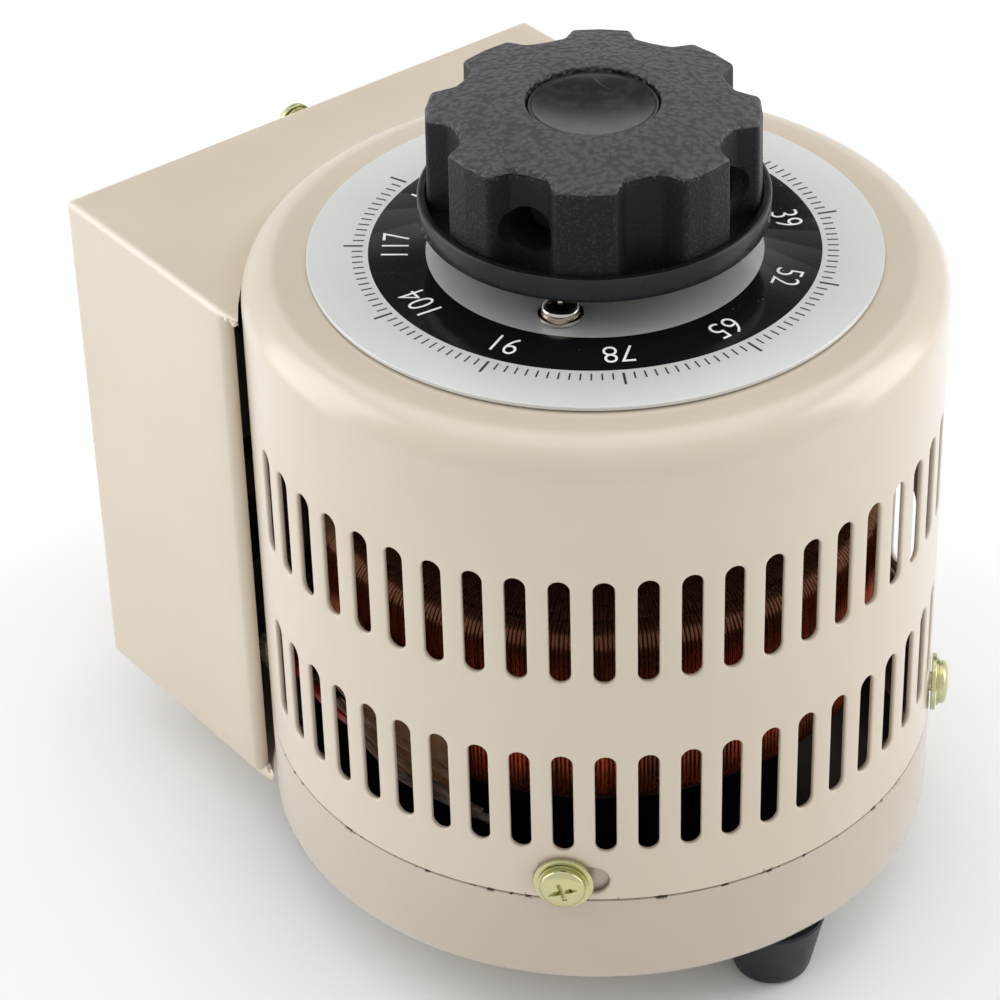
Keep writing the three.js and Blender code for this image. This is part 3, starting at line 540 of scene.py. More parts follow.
def cover_shape():
    made = Shape()
    slot_pitches = {i - SLOTS / 2 + 0.5 for i in range(SLOTS)}
    pitches = [i - PITCHES / 2 + 0.5 for i in range(PITCHES)]
    screw_pitches = [((a - 90 + 180) % 360 - 180) / 360 * PITCHES for a in COVER_SCREW_DEG]
    bands = [(SLOT_ROWS[0] + CELL_HALF_H, SLOT_ROWS[1] - CELL_HALF_H),
             (SLOT_ROWS[1] + CELL_HALF_H, COVER_TOP - SHOULDER_R)]
    # Kind 1 is the sheet's inside, which takes the near-black painted shade.
    for depth, kind in ((0.0, 0), (SHEET, 1)):
        def patch(x0, xs, zs):
            made.grid([[on_skin(x0 + x, z, depth) for x in xs] for z in zs], kind=kind)

        for p in pitches:
            x0 = p * PITCH
            for z0, z1 in bands:
                patch(x0, CELL_X, [z0, (z0 + z1) / 2, z1])
            if not any(abs(p - s) < 1.1 for s in screw_pitches):
                patch(x0, CELL_X, [BAND_BOTTOM, SLOT_ROWS[0] - CELL_HALF_H])
            for row, z0 in enumerate(SLOT_ROWS):
                if p in slot_pitches:
                    grow = RIM[0][0] if depth == 0 else RIM[-1][0]
                    slot, cell = obround(SLOT_HALF_W, SLOT_HALF_H, grow)
                    rings = [with_middles(loop) for loop in (slot, cell)]
                    made.grid([[on_skin(x0 + x, z0 + z, depth) for x, z in loop] for loop in rings],
                              close=True, kind=kind)
                elif row or PITCHES / 2 - abs(p) > WINDOW_PITCHES:
                    patch(x0, CELL_X, [z0 + z for z in CELL_Z])
        for s in screw_pitches:
            x0 = s * PITCH
            low, high = BAND_BOTTOM, SLOT_ROWS[0] - CELL_HALF_H
            xs = sorted({round(x + k * PITCH, 6) for k in (-1, 0, 1) for x in CELL_X})
            outer = [(x, low) for x in xs] + [(x, high) for x in reversed(xs)]
            holes = [screw_slot_loop(RIM[0][0] if depth == 0 else RIM[-1][0])]
            points, faces = fill(outer, holes)
            made.add([on_skin(x0 + x, z, depth) for x, z in points], faces, kind)
    for p in sorted(slot_pitches):
        for z0 in SLOT_ROWS:
            rows = []
            for grow, depth in RIM:
                loop = with_middles(obround(SLOT_HALF_W, SLOT_HALF_H, grow)[0])
                rows.append([on_skin(p * PITCH + x, z0 + z, depth) for x, z in loop])
            made.grid(rows, close=True)
    for s in screw_pitches:
        made.grid([[on_skin(s * PITCH + x, z, depth) for x, z in screw_slot_loop(grow)]
                   for grow, depth in RIM], close=True)
    made.join(cover_top(), cover_foot(), window_edge())
    return made


def screw_slot_loop(grow):
    outline = rect_loop(*SCREW_SLOT, SCREW_SLOT[1] / 2 - 0.01, 10)(grow)
    return [(x + SCREW_SLOT_SHIFT, z + COVER_SCREW_Z) for x, z in outline]


def round_the_drum(profile, kind=0):
    """Rows of (depth below the drum's radius, height) right round, matching the slots' columns."""
    columns = [(i - PITCHES / 2 + 0.5) * PITCH + x for i in range(PITCHES) for x in CELL_X[:-1]]
    return Shape().grid([[on_skin(x, z, depth) for x in columns] for depth, z in profile],
                        close=True, kind=kind)


def cover_top():
    """The rounded shoulder and the flat top, outside and inside."""
    made = Shape()
    hole = DRUM_R - 12.0
    for thin, steps, kind in ((0.0, 14, 0), (SHEET, 6, 1)):
        bend = SHOULDER_R - thin
        profile = [(SHOULDER_R - x, COVER_TOP - SHOULDER_R + z)
                   for x, z in arc(0, 0, bend, 0, 90, steps)]
        profile += [(d, COVER_TOP - thin) for d in (12, 20, hole)]
        made.join(round_the_drum(profile, kind))
    return made.join(round_the_drum([(hole, COVER_TOP), (hole, COVER_TOP - SHEET)]))


def cover_foot():
    """The lower edge, rounded by its paint."""
    z = COVER_BOTTOM
    profile = [(0, BAND_BOTTOM), (0, z + 0.3), (0.1, z + 0.08), (0.3, z), (0.75, z),
               (SHEET, z + 0.25), (SHEET, BAND_BOTTOM)]
    return round_the_drum(profile)


def window_edge():
    """The sheet's thickness round the opening that the wires pass through, behind the box."""
    low, high = SLOT_ROWS[0] - CELL_HALF_H, SLOT_ROWS[0] + CELL_HALF_H
    start = (PITCHES / 2 - WINDOW_PITCHES) * PITCH
    xs = [start + k * PITCH + CELL_HALF + x for k in range(2 * WINDOW_PITCHES) for x in CELL_X[:-1]]
    xs.append(start + 2 * WINDOW_PITCHES * PITCH)
    zs = [SLOT_ROWS[0] + z for z in CELL_Z]
    loop = [(x, low) for x in xs] + [(xs[-1], z) for z in zs[1:-1]]
    loop += [(x, high) for x in reversed(xs)] + [(xs[0], z) for z in reversed(zs[1:-1])]
    return Shape().grid([[on_skin(x, z, d) for x, z in loop] for d in (0, SHEET)], close=True)


CHIPS_AT_SEAM = edge_chips(COVER_BOTTOM, 1.2, SOOT)
cover_paint = enamel("cover_enamel", chips_and_painted_light=CHIPS_AT_SEAM)
# Painted shade: the cover's inside is coloured near black for its unlit interior, not the sheet's own
# colour.
inner_shade_paint = enamel("inner_painted_shade", (0.16, 0.13, 0.105), (0.10, 0.08, 0.06), gloss=0.5)
make("cover", cover_shape(), [cover_paint, inner_shade_paint], nodes=["top_cover"])

# ------------------------------------------------------------------ the pan and its feet

PAN_FLOOR = drum_box("base_pan")[0].z
LIP_R = DRUM_R - SHEET - 0.4
FEET_R = 55
FEET_DEG = (88, 208, 328)


def pan_shape():
    top = COVER_BOTTOM - 0.3
    lip_top = drum_box("base_pan")[1].z
    bend = 3.0
    outside = [(7.3, PAN_FLOOR), (DRUM_R - 12, PAN_FLOOR)]
    outside += arc(DRUM_R - bend, PAN_FLOOR + bend, bend, -90, 0, 8)
    outside += [(DRUM_R, top - 0.3), (DRUM_R - 0.09, top - 0.09), (DRUM_R - 0.3, top)]
    lip = [(LIP_R, top), (LIP_R, lip_top - 0.3), (LIP_R - 0.3, lip_top), (LIP_R - 0.8, lip_top),
           (LIP_R - SHEET, lip_top - 0.3), (LIP_R - SHEET, top - SHEET), (DRUM_R - SHEET, top - SHEET)]
    inner = arc(DRUM_R - bend, PAN_FLOOR + bend, bend - SHEET, 0, -90, 6)
    return closed_turn([*outside, *lip, *inner, (7.3, PAN_FLOOR + SHEET)], 208)


def pan_marks(n, base):
    """Chips at the seam, and painted shade darkening the pan's unlit inside."""
    x, y, z = n.axes()
    base = edge_chips(COVER_BOTTOM - 0.3, 0.9, SOOT, 0.70)(n, base)
    # Painted shade: the inside of the pan is coloured near black because it is unlit.
    within = n.math("MULTIPLY", n.ramp(n.radius(x, y), LIP_R - 1.3, LIP_R - 0.9, 1.0, 0.0),
                    n.ramp(z, PAN_FLOOR + 0.4, PAN_FLOOR + 0.6))
    return n.mix(within, base, (0.03, 0.025, 0.02))


pan_paint = enamel("pan_enamel", (0.51, 0.445, 0.36), (0.475, 0.405, 0.32), pan_marks)
make("pan", pan_shape(), pan_paint, nodes=["base_pan"])

rubber = moulded("foot_rubber", (0.008, 0.008, 0.012), 0.42, 0.02, 0.8)
FOOT_PROFILE = [(2.4, 6), (4.4, 6), (4.6, 5.8), (4.6, 0.3), (4.9, 0), (5.7, 0), (6.6, 0.25),
                (7.3, 0.9), (7.72, 2.0), (9.9, 12.4), (10.25, 13.6), (10.0, 14.2), (2.4, 14.2)]
for i, degrees in enumerate(FEET_DEG):
    make(f"rubber_foot_{i + 1}", closed_turn(FOOT_PROFILE, 48), rubber,
         nodes=[f"foot_{i + 1}"], place=upright(*polar(FEET_R, degrees), 0))

# ------------------------------------------------------------------ screws


def drive_recess(reach, slot, depth, top):
    """A tapered cross and one shallow slot right across, as on combination-drive screws."""
    made = []
    for turn, wide, thin, deep in ((0, reach, reach * 0.24, depth), (90, reach, reach * 0.24, depth),
                                   (90, slot, reach * 0.2, depth * 0.4)):
        rows = []
        for z, scale in ((top + 1, 1.12), (top - 0.25 * deep, 1.0), (top - deep, 0.55)):
            x, y = wide * scale, thin * (0.6 + 0.4 * scale)
            rows.append([(x, y, z), (-x, y, z), (-x, -y, z), (x, -y, z)])
        bar = Shape().grid(rows, close=True)
        bar.add(rows[0], [(0, 1, 2, 3)]).add(rows[-1], [(3, 2, 1, 0)])
        made.append(bar.moved(Matrix.Rotation(math.radians(turn), 4, "Z")))
    return made


def pan_head(name, head, height, under, flange=0.0):
    """A domed head standing on z = under, with a combination recess and a short shank."""
    dome = height * 0.62
    profile = [(head * 0.45, under - 4)]
    profile += [(head * 0.45, under)]
    if flange:
        profile += [(flange - 0.15, under), (flange, under + 0.2), (flange - 0.1, under + 0.75),
                    (head + 0.1, under + 0.85)]
        under += 0.85
    profile += [(head - 0.12, under), (head, under + 0.15)]
    profile += [(head * math.cos(math.radians(a)) ** 0.55,
                 under + height - dome + dome * math.sin(math.radians(a))) for a in range(0, 86, 12)]
    profile += [(0.05 * head, under + height)]
    return carve(to_mesh(name, solid_turn(profile, 40)),
                 *drive_recess(head * 0.46, head * 0.8, height * 0.62, under + height))


def washers(flat, flat_t, spring, spring_t):
    """A flat washer with a spring washer on it, the spring one split and slightly sprung."""
    e = 0.12
    made = closed_turn([(2.4, 0), (flat - e, 0), (flat, e), (flat, flat_t - e), (flat - e, flat_t),
                        (2.4, flat_t)], 48) if flat else Shape()
    rows = []
    for i in range(45):
        a = 6 + 348 * i / 44
        lift = flat_t + 0.25 * i / 44
        rows.append([(*polar(r, a), lift + z) for r, z in
                     ((2.5, 0), (spring, 0), (spring, spring_t - 0.2), (2.5, spring_t - 0.2))])
    made.grid(rows, close=True).add(rows[0], [(3, 2, 1, 0)]).add(rows[-1], [(0, 1, 2, 3)])
    return made


zinc = metal("yellow_zinc", (0.62, 0.53, 0.24), 0.24, tint=(0.50, 0.56, 0.36), depth=0.006)
nickel = metal("nickel_plate", (0.62, 0.57, 0.50), 0.16, tint=(0.55, 0.50, 0.45), depth=0.004)

side_head = pan_head("side_head", 4.3, 1.85, 1.35)
side_washers = to_mesh("side_washers", washers(5.65, 0.9, 4.7, 0.6))
for i, degrees in enumerate(COVER_SCREW_DEG):
    place = on_drum(degrees, DRUM_R + 0.3, COVER_SCREW_Z, 18 + 70 * i)
    make(f"side_screw_{i + 1}", side_head, zinc,
         nodes=[f"cover_screw_{i + 1}"], place=place)
    make(f"side_washers_{i + 1}", side_washers, zinc, place=place)

DIAL_SCREW_R = 24.7
DIAL_SCREW_DEG = (36.5, 156.5, 276.5)
dial_top = drum_box("dial_plate")[1].z
dial_head = pan_head("dial_head", 3.45, 1.9, 0.15, flange=4.25)
for i, degrees in enumerate(DIAL_SCREW_DEG):
    make(f"dial_fixing_{i + 1}", dial_head, nickel, nodes=[f"dial_screw_{i + 1}"],
         place=upright(*polar(DIAL_SCREW_R, degrees), dial_top, degrees + 20))

foot_head = pan_head("foot_head", 3.6, 2.2, 0)
for i, degrees in enumerate(FEET_DEG):
    place = upright(*polar(FEET_R, degrees), 5.7) @ Matrix.Rotation(math.pi, 4, "X")
    make(f"foot_fixing_{i + 1}", foot_head, zinc,
         nodes=[f"foot_screw_{i + 1}"], place=place)

# ------------------------------------------------------------------ the control box

BOX_WALL = 1.2
BOX_FOLD = 1.2
BOX_FLANGE = 6.6
FRONT_BEND = 1.6
DRUM_CLEAR = 0.8
SIDE_SET_BACK = 5.4  # of the side panels' edges from the drum
CURL = 2.0  # inward bend of the side panels beside the drum
DISH = 0.45  # how far the panels sink inside their folded borders


def box_loop():
    """Round the box's section: (x, z, outward x, outward z, how far it is a side, dish)."""
    mid_z = (BOX_TOP + BOX_BOTTOM) / 2
    half_h = (BOX_TOP - BOX_BOTTOM) / 2
    flat_x, flat_z = BOX_HALF - BOX_FOLD, half_h - BOX_FOLD
    spots = [0.0, 0.03, 0.06, 0.10, 0.2, 0.35, 0.5, 0.65, 0.8, 0.90, 0.94, 0.97, 1.0]
    sag = [0.0, 0.35, 0.85, 1.0, 1.0, 1.0, 1.0, 1.0, 1.0, 1.0, 0.85, 0.35, 0.0]
    made = []

    def fold(cx, cz, start):
        for i in range(1, 6):
            a = math.radians(start + 15 * i)
            side = min(1.0, abs(math.cos(a)) ** 2)
            made.append((cx + BOX_FOLD * math.cos(a), cz + BOX_FOLD * math.sin(a),
                         math.cos(a), math.sin(a), side, 0.0))

    for t, s in zip(spots, sag):
        made.append((BOX_HALF, mid_z - flat_z + 2 * flat_z * t, 1, 0, 1, 0.6 * s))
    fold(flat_x, mid_z + flat_z, 0)
    for t, s in zip(spots, sag):
        made.append((flat_x - 2 * flat_x * t, BOX_TOP, 0, 1, 0, s))
    fold(-flat_x, mid_z + flat_z, 90)
    for t, s in zip(spots, sag):
        made.append((-BOX_HALF, mid_z + flat_z - 2 * flat_z * t, -1, 0, 1, 0.6 * s))
    fold(-flat_x, mid_z - flat_z, 180)
    for t, s in zip(spots, sag):
        made.append((-flat_x + 2 * flat_x * t, BOX_BOTTOM, 0, -1, 0, 0.3 * s))
    fold(flat_x, mid_z - flat_z, 270)
    return made


def control_box_shape():
    loop = box_loop()
    reach = DRUM_R + DRUM_CLEAR

    def ring(y_of, inset_of):
        """One row round the box; a row further in than the fold keeps square corners."""
        row = []
        for x, z, nx, nz, side, sag in loop:
            inset, y = inset_of(side, sag), y_of(x, side)
            if inset <= BOX_FOLD:
                row.append((x - nx * inset, y, z - nz * inset))
                continue
            half = BOX_HALF - inset
            row.append((min(max(x, -half), half), y,
                        min(max(z, BOX_BOTTOM + inset), BOX_TOP - inset)))
        return row

    def drum_side(x, side):
        return -math.sqrt(reach ** 2 - min(abs(x), BOX_HALF) ** 2) - SIDE_SET_BACK * side

    def along(t):
        dish = DISH * math.sin(math.pi * min(1.0, max(0.0, 1.15 * t))) ** 0.5 if t > 0 else 0.0
        return (lambda x, side: (1 - t) * (BOX_FRONT + FRONT_BEND) + t * (drum_side(x, side) - CURL),
                lambda side, sag: dish * sag)

    inner_front = BOX_FRONT + BOX_WALL
    outer = [ring(lambda x, s: BOX_FRONT, lambda s, g: BOX_FLANGE)]
    for a in range(0, 91, 15):
        c, d = polar(FRONT_BEND, a)
        outer.append(ring(lambda x, s, c=c: BOX_FRONT + FRONT_BEND - c,
                          lambda s, g, d=d: FRONT_BEND - d))
    for t in (0.02, 0.05, 0.09, 0.2, 0.4, 0.6, 0.8, 0.9, 0.95, 1.0):
        outer.append(ring(*along(t)))
    for i in range(1, 6):
        a = math.radians(17 * i)
        outer.append(ring(
            lambda x, s, a=a, i=i: drum_side(x, s) - CURL + CURL * (s * math.sin(a) + (1 - s) * i / 5),
            lambda s, g, a=a: s * CURL * (1 - math.cos(a))))
    inner = [ring(lambda x, s: drum_side(x, s) - 0.15, lambda s, g: BOX_WALL + s * 1.3)]
    inner.append(ring(lambda x, s: drum_side(x, s) - CURL - 0.6, lambda s, g: BOX_WALL))
    inner.append(ring(lambda x, s: inner_front, lambda s, g: BOX_WALL))
    inner.append(ring(lambda x, s: inner_front, lambda s, g: BOX_FLANGE))
    return Shape().grid([*outer, *inner, outer[0]], close=True)


box_paint = enamel("box_enamel", chips_and_painted_light=box_chips)
make("control_box_shell", control_box_shape(), box_paint, nodes=["control_box"],
     sharp=50)


def weld_beads():
    """Small beads of weld under the paint, where the box's top meets its side by the drum."""
    made = Shape()
    rng = random.Random(4)
    y0 = -math.sqrt((DRUM_R + DRUM_CLEAR) ** 2 - BOX_HALF ** 2) - 2.2
    for i in range(5):
        r = rng.uniform(0.5, 0.9)
        rows = [[(*polar(r * math.cos(math.radians(b)) * rng.uniform(0.9, 1.1), 30 * j),
                  0.75 * r * math.sin(math.radians(b))) for j in range(12)] for b in range(-90, 91, 30)]
        bead = Shape().grid(rows, close=True)
        made.join(bead.moved(Matrix.Translation((BOX_HALF - 0.7 + rng.uniform(-0.4, 0.2),
                                                 y0 - 1.15 * i, BOX_TOP - 0.75))))
    return made


make("weld_bead", weld_beads(), box_paint, sharp=80)

# ------------------------------------------------------------------ the front panel

PANEL_BACK, PANEL_FACE = drum_box("front_panel")[1].y, drum_box("front_panel")[0].y
METER_LOW, METER_HIGH = drum_box("meter_window")
METER_Z = (METER_LOW.z + METER_HIGH.z) / 2
METER_W, METER_H = METER_HIGH.x - METER_LOW.x, METER_HIGH.z - METER_LOW.z
SWITCH_LOW, SWITCH_HIGH = drum_box("switch_body")
SWITCH_X, SWITCH_Z = (SWITCH_LOW.x + SWITCH_HIGH.x) / 2, (SWITCH_LOW.z + SWITCH_HIGH.z) / 2
OUTLET_LOW, OUTLET_HIGH = drum_box("outlet")
OUTLET_X, OUTLET_Z = (OUTLET_LOW.x + OUTLET_HIGH.x) / 2, (OUTLET_LOW.z + OUTLET_HIGH.z) / 2
OUTLET_W, OUTLET_H = OUTLET_HIGH.x - OUTLET_LOW.x, OUTLET_HIGH.z - OUTLET_LOW.z
FUSE_X, FUSE_Z = 36.0, 50.5
GLAND_X, GLAND_Z = 36.0, 29.0
PANEL_SCREW_Z = (BOX_TOP - 4.8, BOX_BOTTOM + 4.8)


def front_panel_shape():
    low, high = drum_box("front_panel")
    middle = (low.z + high.z) / 2
    outer = rect_loop(high.x - low.x, high.z - low.z, 2.5, 6)
    holes = [
        shifted(ellipse_loop(21.3), 0, METER_Z - middle),
        rect_loop(18.6, 26.6, 1.0, 3, (SWITCH_X, SWITCH_Z - middle)),
        rect_loop(29, 24, 2.0, 3, (OUTLET_X, OUTLET_Z - middle)),
        shifted(ellipse_loop(6.3, 28), FUSE_X, FUSE_Z - middle),
        shifted(ellipse_loop(6.3, 28), GLAND_X, GLAND_Z - middle),
        *[shifted(ellipse_loop(2.2, 16), 0, z - middle) for z in PANEL_SCREW_Z],
    ]
    return plate(outer, holes, PANEL_BACK - PANEL_FACE, 0.35).moved(on_panel(0, middle, PANEL_BACK))


panel_paint = enamel("panel_enamel")
make("panel_sheet", front_panel_shape(), panel_paint, nodes=["front_panel"])

panel_head = pan_head("panel_head", 3.8, 1.9, 0.7)
panel_washer = to_mesh("panel_washer", washers(0, 0, 3.3, 0.7))
for i, z in enumerate(PANEL_SCREW_Z):
    place = on_panel(0, z, PANEL_FACE - 0.15) @ Matrix.Rotation(math.radians(20 + 50 * i), 4, "Z")
    make(f"panel_fixing_{i + 1}", panel_head, zinc,
         nodes=[f"panel_screw_{i + 1}"], place=place)
    make(f"panel_washer_{i + 1}", panel_washer, zinc, place=place)

# ------------------------------------------------------------------ printed marks


def lettering(name, text, height, thick, finish, body, place, width=1.0, thin=0.0):
    """Thin printed figures, centred, reading along local X with local Y up."""
    curve = bpy.data.curves.new(name, "FONT")
    curve.body, curve.align_x, curve.align_y = text, "CENTER", "CENTER"
    curve.size, curve.extrude = height * 1.4, thick / 2
    curve.resolution_u, curve.offset = 4, -thin
    source = bpy.data.objects.new(name + "_text", curve)
    bpy.context.scene.collection.objects.link(source)
    graph = bpy.context.evaluated_depsgraph_get()
    mesh = bpy.data.meshes.new_from_object(source.evaluated_get(graph))
    bpy.data.objects.remove(source)
    mesh.transform(Matrix.Diagonal((width, 1, 1, 1)))
    return make(name, mesh, finish, body, place=place)


def ticks(spots, thick):
    """Printed strokes: each is (radius, length, width, degrees) about the local origin."""
    made = Shape()
    for r, length, width, degrees in spots:
        made.join(block(r, r + length, -width / 2, width / 2, 0, thick).moved(
            Matrix.Rotation(math.radians(degrees), 4, "Z")))
    return made


# ------------------------------------------------------------------ the dial

DIAL_R = drum_box("dial_plate")[1].x
BLACK_RING = (31.1, 41.7)
DIGIT_R = 36.4
DEG_PER_VOLT = 2.5
PRINT_T = 0.06


def dial_degrees(volts):
    return 90 + (65 - volts) * DEG_PER_VOLT


def dial_finish():
    n = Nodes("dial_print")
    x, y, z = n.axes((0, 0, dial_top))
    r = n.radius(x, y)
    black = n.math("MULTIPLY", n.ramp(r, BLACK_RING[0] - 0.04, BLACK_RING[0] + 0.04),
                   n.ramp(r, BLACK_RING[1] - 0.04, BLACK_RING[1] + 0.04, 1.0, 0.0))
    inner = n.ramp(r, BLACK_RING[0] - 0.04, BLACK_RING[0] + 0.04, 1.0, 0.0)
    cloud = n.noise(0.06, 3.0)
    silver = n.mix(cloud, (0.69, 0.70, 0.685), (0.62, 0.63, 0.615))
    satin = n.mix(cloud, (0.66, 0.66, 0.64), (0.58, 0.58, 0.565))
    # Painted glints: the pale specks on the black ring are reflected light painted into the print's colour.
    specks = n.ramp(n.noise(0.9, 2.0, 0.6), 0.74, 0.76)
    ink_and_glints = n.mix(n.math("MULTIPLY", specks, 0.5), (0.006, 0.006, 0.007), (0.25, 0.26, 0.26))
    tone = n.mix(black, n.mix(inner, silver, satin), ink_and_glints)
    grain = n.noise(2.2, 3.0, 0.6)
    rough = n.ramp(grain, 0.3, 0.7, 0.30, 0.42)
    metallic = n.math("MULTIPLY", n.math("SUBTRACT", 1.0, black), n.ramp(inner, 0, 1, 0.25, 0.30))
    n.set(base_color=tone, metallic=metallic, roughness=n.math(
        "SUBTRACT", rough, n.math("MULTIPLY", black, 0.23)))
    return n.bump(grain, 0.004, 0.4).material


def dial_shape():
    holes = [ellipse_loop(7.5, 32)]
    holes += [shifted(ellipse_loop(2.3, 16), *polar(DIAL_SCREW_R, d)) for d in DIAL_SCREW_DEG]
    thick = dial_top - drum_box("dial_plate")[0].z
    return plate(ellipse_loop(DIAL_R, 160), holes, thick, 0.2).moved(upright(0, 0, dial_top - thick))


make("dial_disc", dial_shape(), dial_finish(), nodes=["dial_plate"])

white_ink = moulded("white_ink", (0.80, 0.82, 0.80), 0.4)
black_ink = moulded("black_ink", (0.03, 0.03, 0.035), 0.4)
for volts in range(0, 131, 13):
    degrees = dial_degrees(volts)
    lettering(f"dial_figure_{volts}", str(volts), 5.4, PRINT_T, white_ink, "frame",
              width=0.82, thin=0.10,
              place=upright(*polar(DIGIT_R, degrees), dial_top + PRINT_T / 2, degrees - 90))
scale_marks = []
for step in range(0, 131):
    long = step % 13 == 0
    scale_marks.append((BLACK_RING[1] + 1.0, 3.6 if long else 2.0, 0.45 if long else 0.28,
                        dial_degrees(step)))
make("dial_marks", ticks(scale_marks, PRINT_T), black_ink,
     place=upright(0, 0, dial_top))

# ------------------------------------------------------------------ the knob

KNOB_HIGH = drum_box("knob")[1]
SKIRT_R = KNOB_HIGH.x
KNOB_TOP = KNOB_HIGH.z
SKIRT_BOTTOM, SKIRT_RIM = 145.0, 149.8
LOBES, FIRST_LOBE = 8, 3
LOBE_R = 30.6
SCALLOP_R = 26
LOBE_BOTTOM = 147
HALF_CROWN_DEG = 10.6
KNOB_EDGE = KNOB_TOP - 1.8
SET_SCREW_DEG = (25.5, 115.5)
SET_SCREW_Z = 155.0
CAP_R = 12.2


def filleted(points, radius, steps=5):
    """A closed outline with each corner rounded."""
    made = []
    for i, p in enumerate(points):
        p = Vector(p)
        a, b = Vector(points[i - 1]) - p, Vector(points[(i + 1) % len(points)]) - p
        half = a.angle(b) / 2
        back = min(radius / math.tan(half), 0.48 * a.length, 0.48 * b.length)
        start, end = p + a.normalized() * back, p + b.normalized() * back
        for k in range(steps + 1):
            t = k / steps
            made.append(start * (1 - t) ** 2 + p * (2 * t * (1 - t)) + end * t ** 2)
    return made


def knob_loop():
    """The lobed outline: flat-crowned lobes with shallow scallops between them."""
    pitch = 360 / LOBES
    corners = []
    for lobe in range(LOBES):
        centre = FIRST_LOBE + lobe * pitch
        corners += [polar(LOBE_R, centre - HALF_CROWN_DEG), polar(LOBE_R, centre),
                    polar(LOBE_R, centre + HALF_CROWN_DEG)]
        for step in (-0.62, 0, 0.62):
            corners.append(polar(SCALLOP_R + 0.9 * abs(step),
                                 centre + pitch / 2 + step * (pitch / 2 - HALF_CROWN_DEG)))
    return filleted(corners, 1.5)


def inset_loop(loop, inset):
    """The outline moved inward, its points kept in order round the shaft where fillets run out."""
    made = []
    for i, p in enumerate(loop):
        along = (loop[(i + 1) % len(loop)] - loop[i - 1]).normalized()
        made.append(p - Vector((along.y, -along.x)) * inset)
    turns = [math.atan2(p.y, p.x) for p in made]
    for i, p in enumerate(loop):
        if math.sin(turns[i] - turns[i - 1]) < 0.0004:
            after = (i + 1) % len(loop)
            middle = (made[i - 1] + made[after]) / 2
            made[i] = middle.normalized() * made[i].length
            turns[i] = math.atan2(made[i].y, made[i].x)
    return made


def crown_z(p):
    """The height of the knob's domed top above a point of its outline."""
    t = min(max((p.length - CAP_R - 1.5) / (LOBE_R - CAP_R - 1.5), 0), 1)
    return KNOB_TOP - (KNOB_TOP - KNOB_EDGE) * t ** 1.4


def knob_lobes():
    loop = knob_loop()
    bevel, draft = 0.9, 0.25
    rows = [[(0, 0, LOBE_BOTTOM)] * len(loop)]
    for t in (0, 0.2, 0.4, 0.6, 0.8, 1.0):
        row = inset_loop(loop, draft * t)
        rows.append([(*p, LOBE_BOTTOM * (1 - t) + (crown_z(p) - bevel) * t) for p in row])
    for a in range(15, 91, 15):
        row = inset_loop(loop, draft + bevel * (1 - math.cos(math.radians(a))))
        rows.append([(*p, crown_z(p) - bevel + bevel * math.sin(math.radians(a))) for p in row])
    edge = inset_loop(loop, draft + bevel)
    for t in (0.15, 0.3, 0.45, 0.6, 0.75, 0.9, 1.0):
        row = [p * (1 - t) + p.normalized() * ((CAP_R + 0.5) * t) for p in edge]
        rows.append([(*p, crown_z(p)) for p in row])
    for r, drop in ((CAP_R + 0.2, 0.04), (CAP_R + 0.05, 0.2), (CAP_R, 0.5), (CAP_R, 2.2), (0, 2.2)):
        rows.append([(*(p.normalized() * r), KNOB_TOP - drop) for p in edge])
    return Shape().grid(rows, close=True)


def side_bore(degrees):
    bore = solid_turn([(2.8, 1), (2.8, 17), (4.5, 17.6), (4.5, 25.4), (4.62, 25.7), (5.2, 27.2),
                       (5.2, 36)], 40)
    return bore.moved(on_drum(degrees, 0, SET_SCREW_Z))


def knob_skirt():
    rim, edge = SKIRT_RIM, 0.5
    profile = [(5.3, SKIRT_BOTTOM - 5), (12.5, SKIRT_BOTTOM - 5), (12.5, SKIRT_BOTTOM),
               (15, SKIRT_BOTTOM + 1.6), (SKIRT_R - 3, SKIRT_BOTTOM + 1.6), (SKIRT_R - 2.6, SKIRT_BOTTOM),
               (SKIRT_R - 1.0, SKIRT_BOTTOM), *arc(SKIRT_R - 0.8, SKIRT_BOTTOM + 0.8, 0.8, -75, 0, 4),
               *arc(SKIRT_R - edge, rim - edge, edge, 0, 90, 5),
               *arc(SKIRT_R - 1.25, rim - 0.4, 0.4, 90, 180, 4),
               (SKIRT_R - 1.75, rim - 1.5), (SKIRT_R - 2.2, rim - 2.0), (SKIRT_R - 3.2, rim - 2.2),
               (12, rim - 2.2), (5.3, rim - 2.2)]
    return closed_turn(profile, 128)


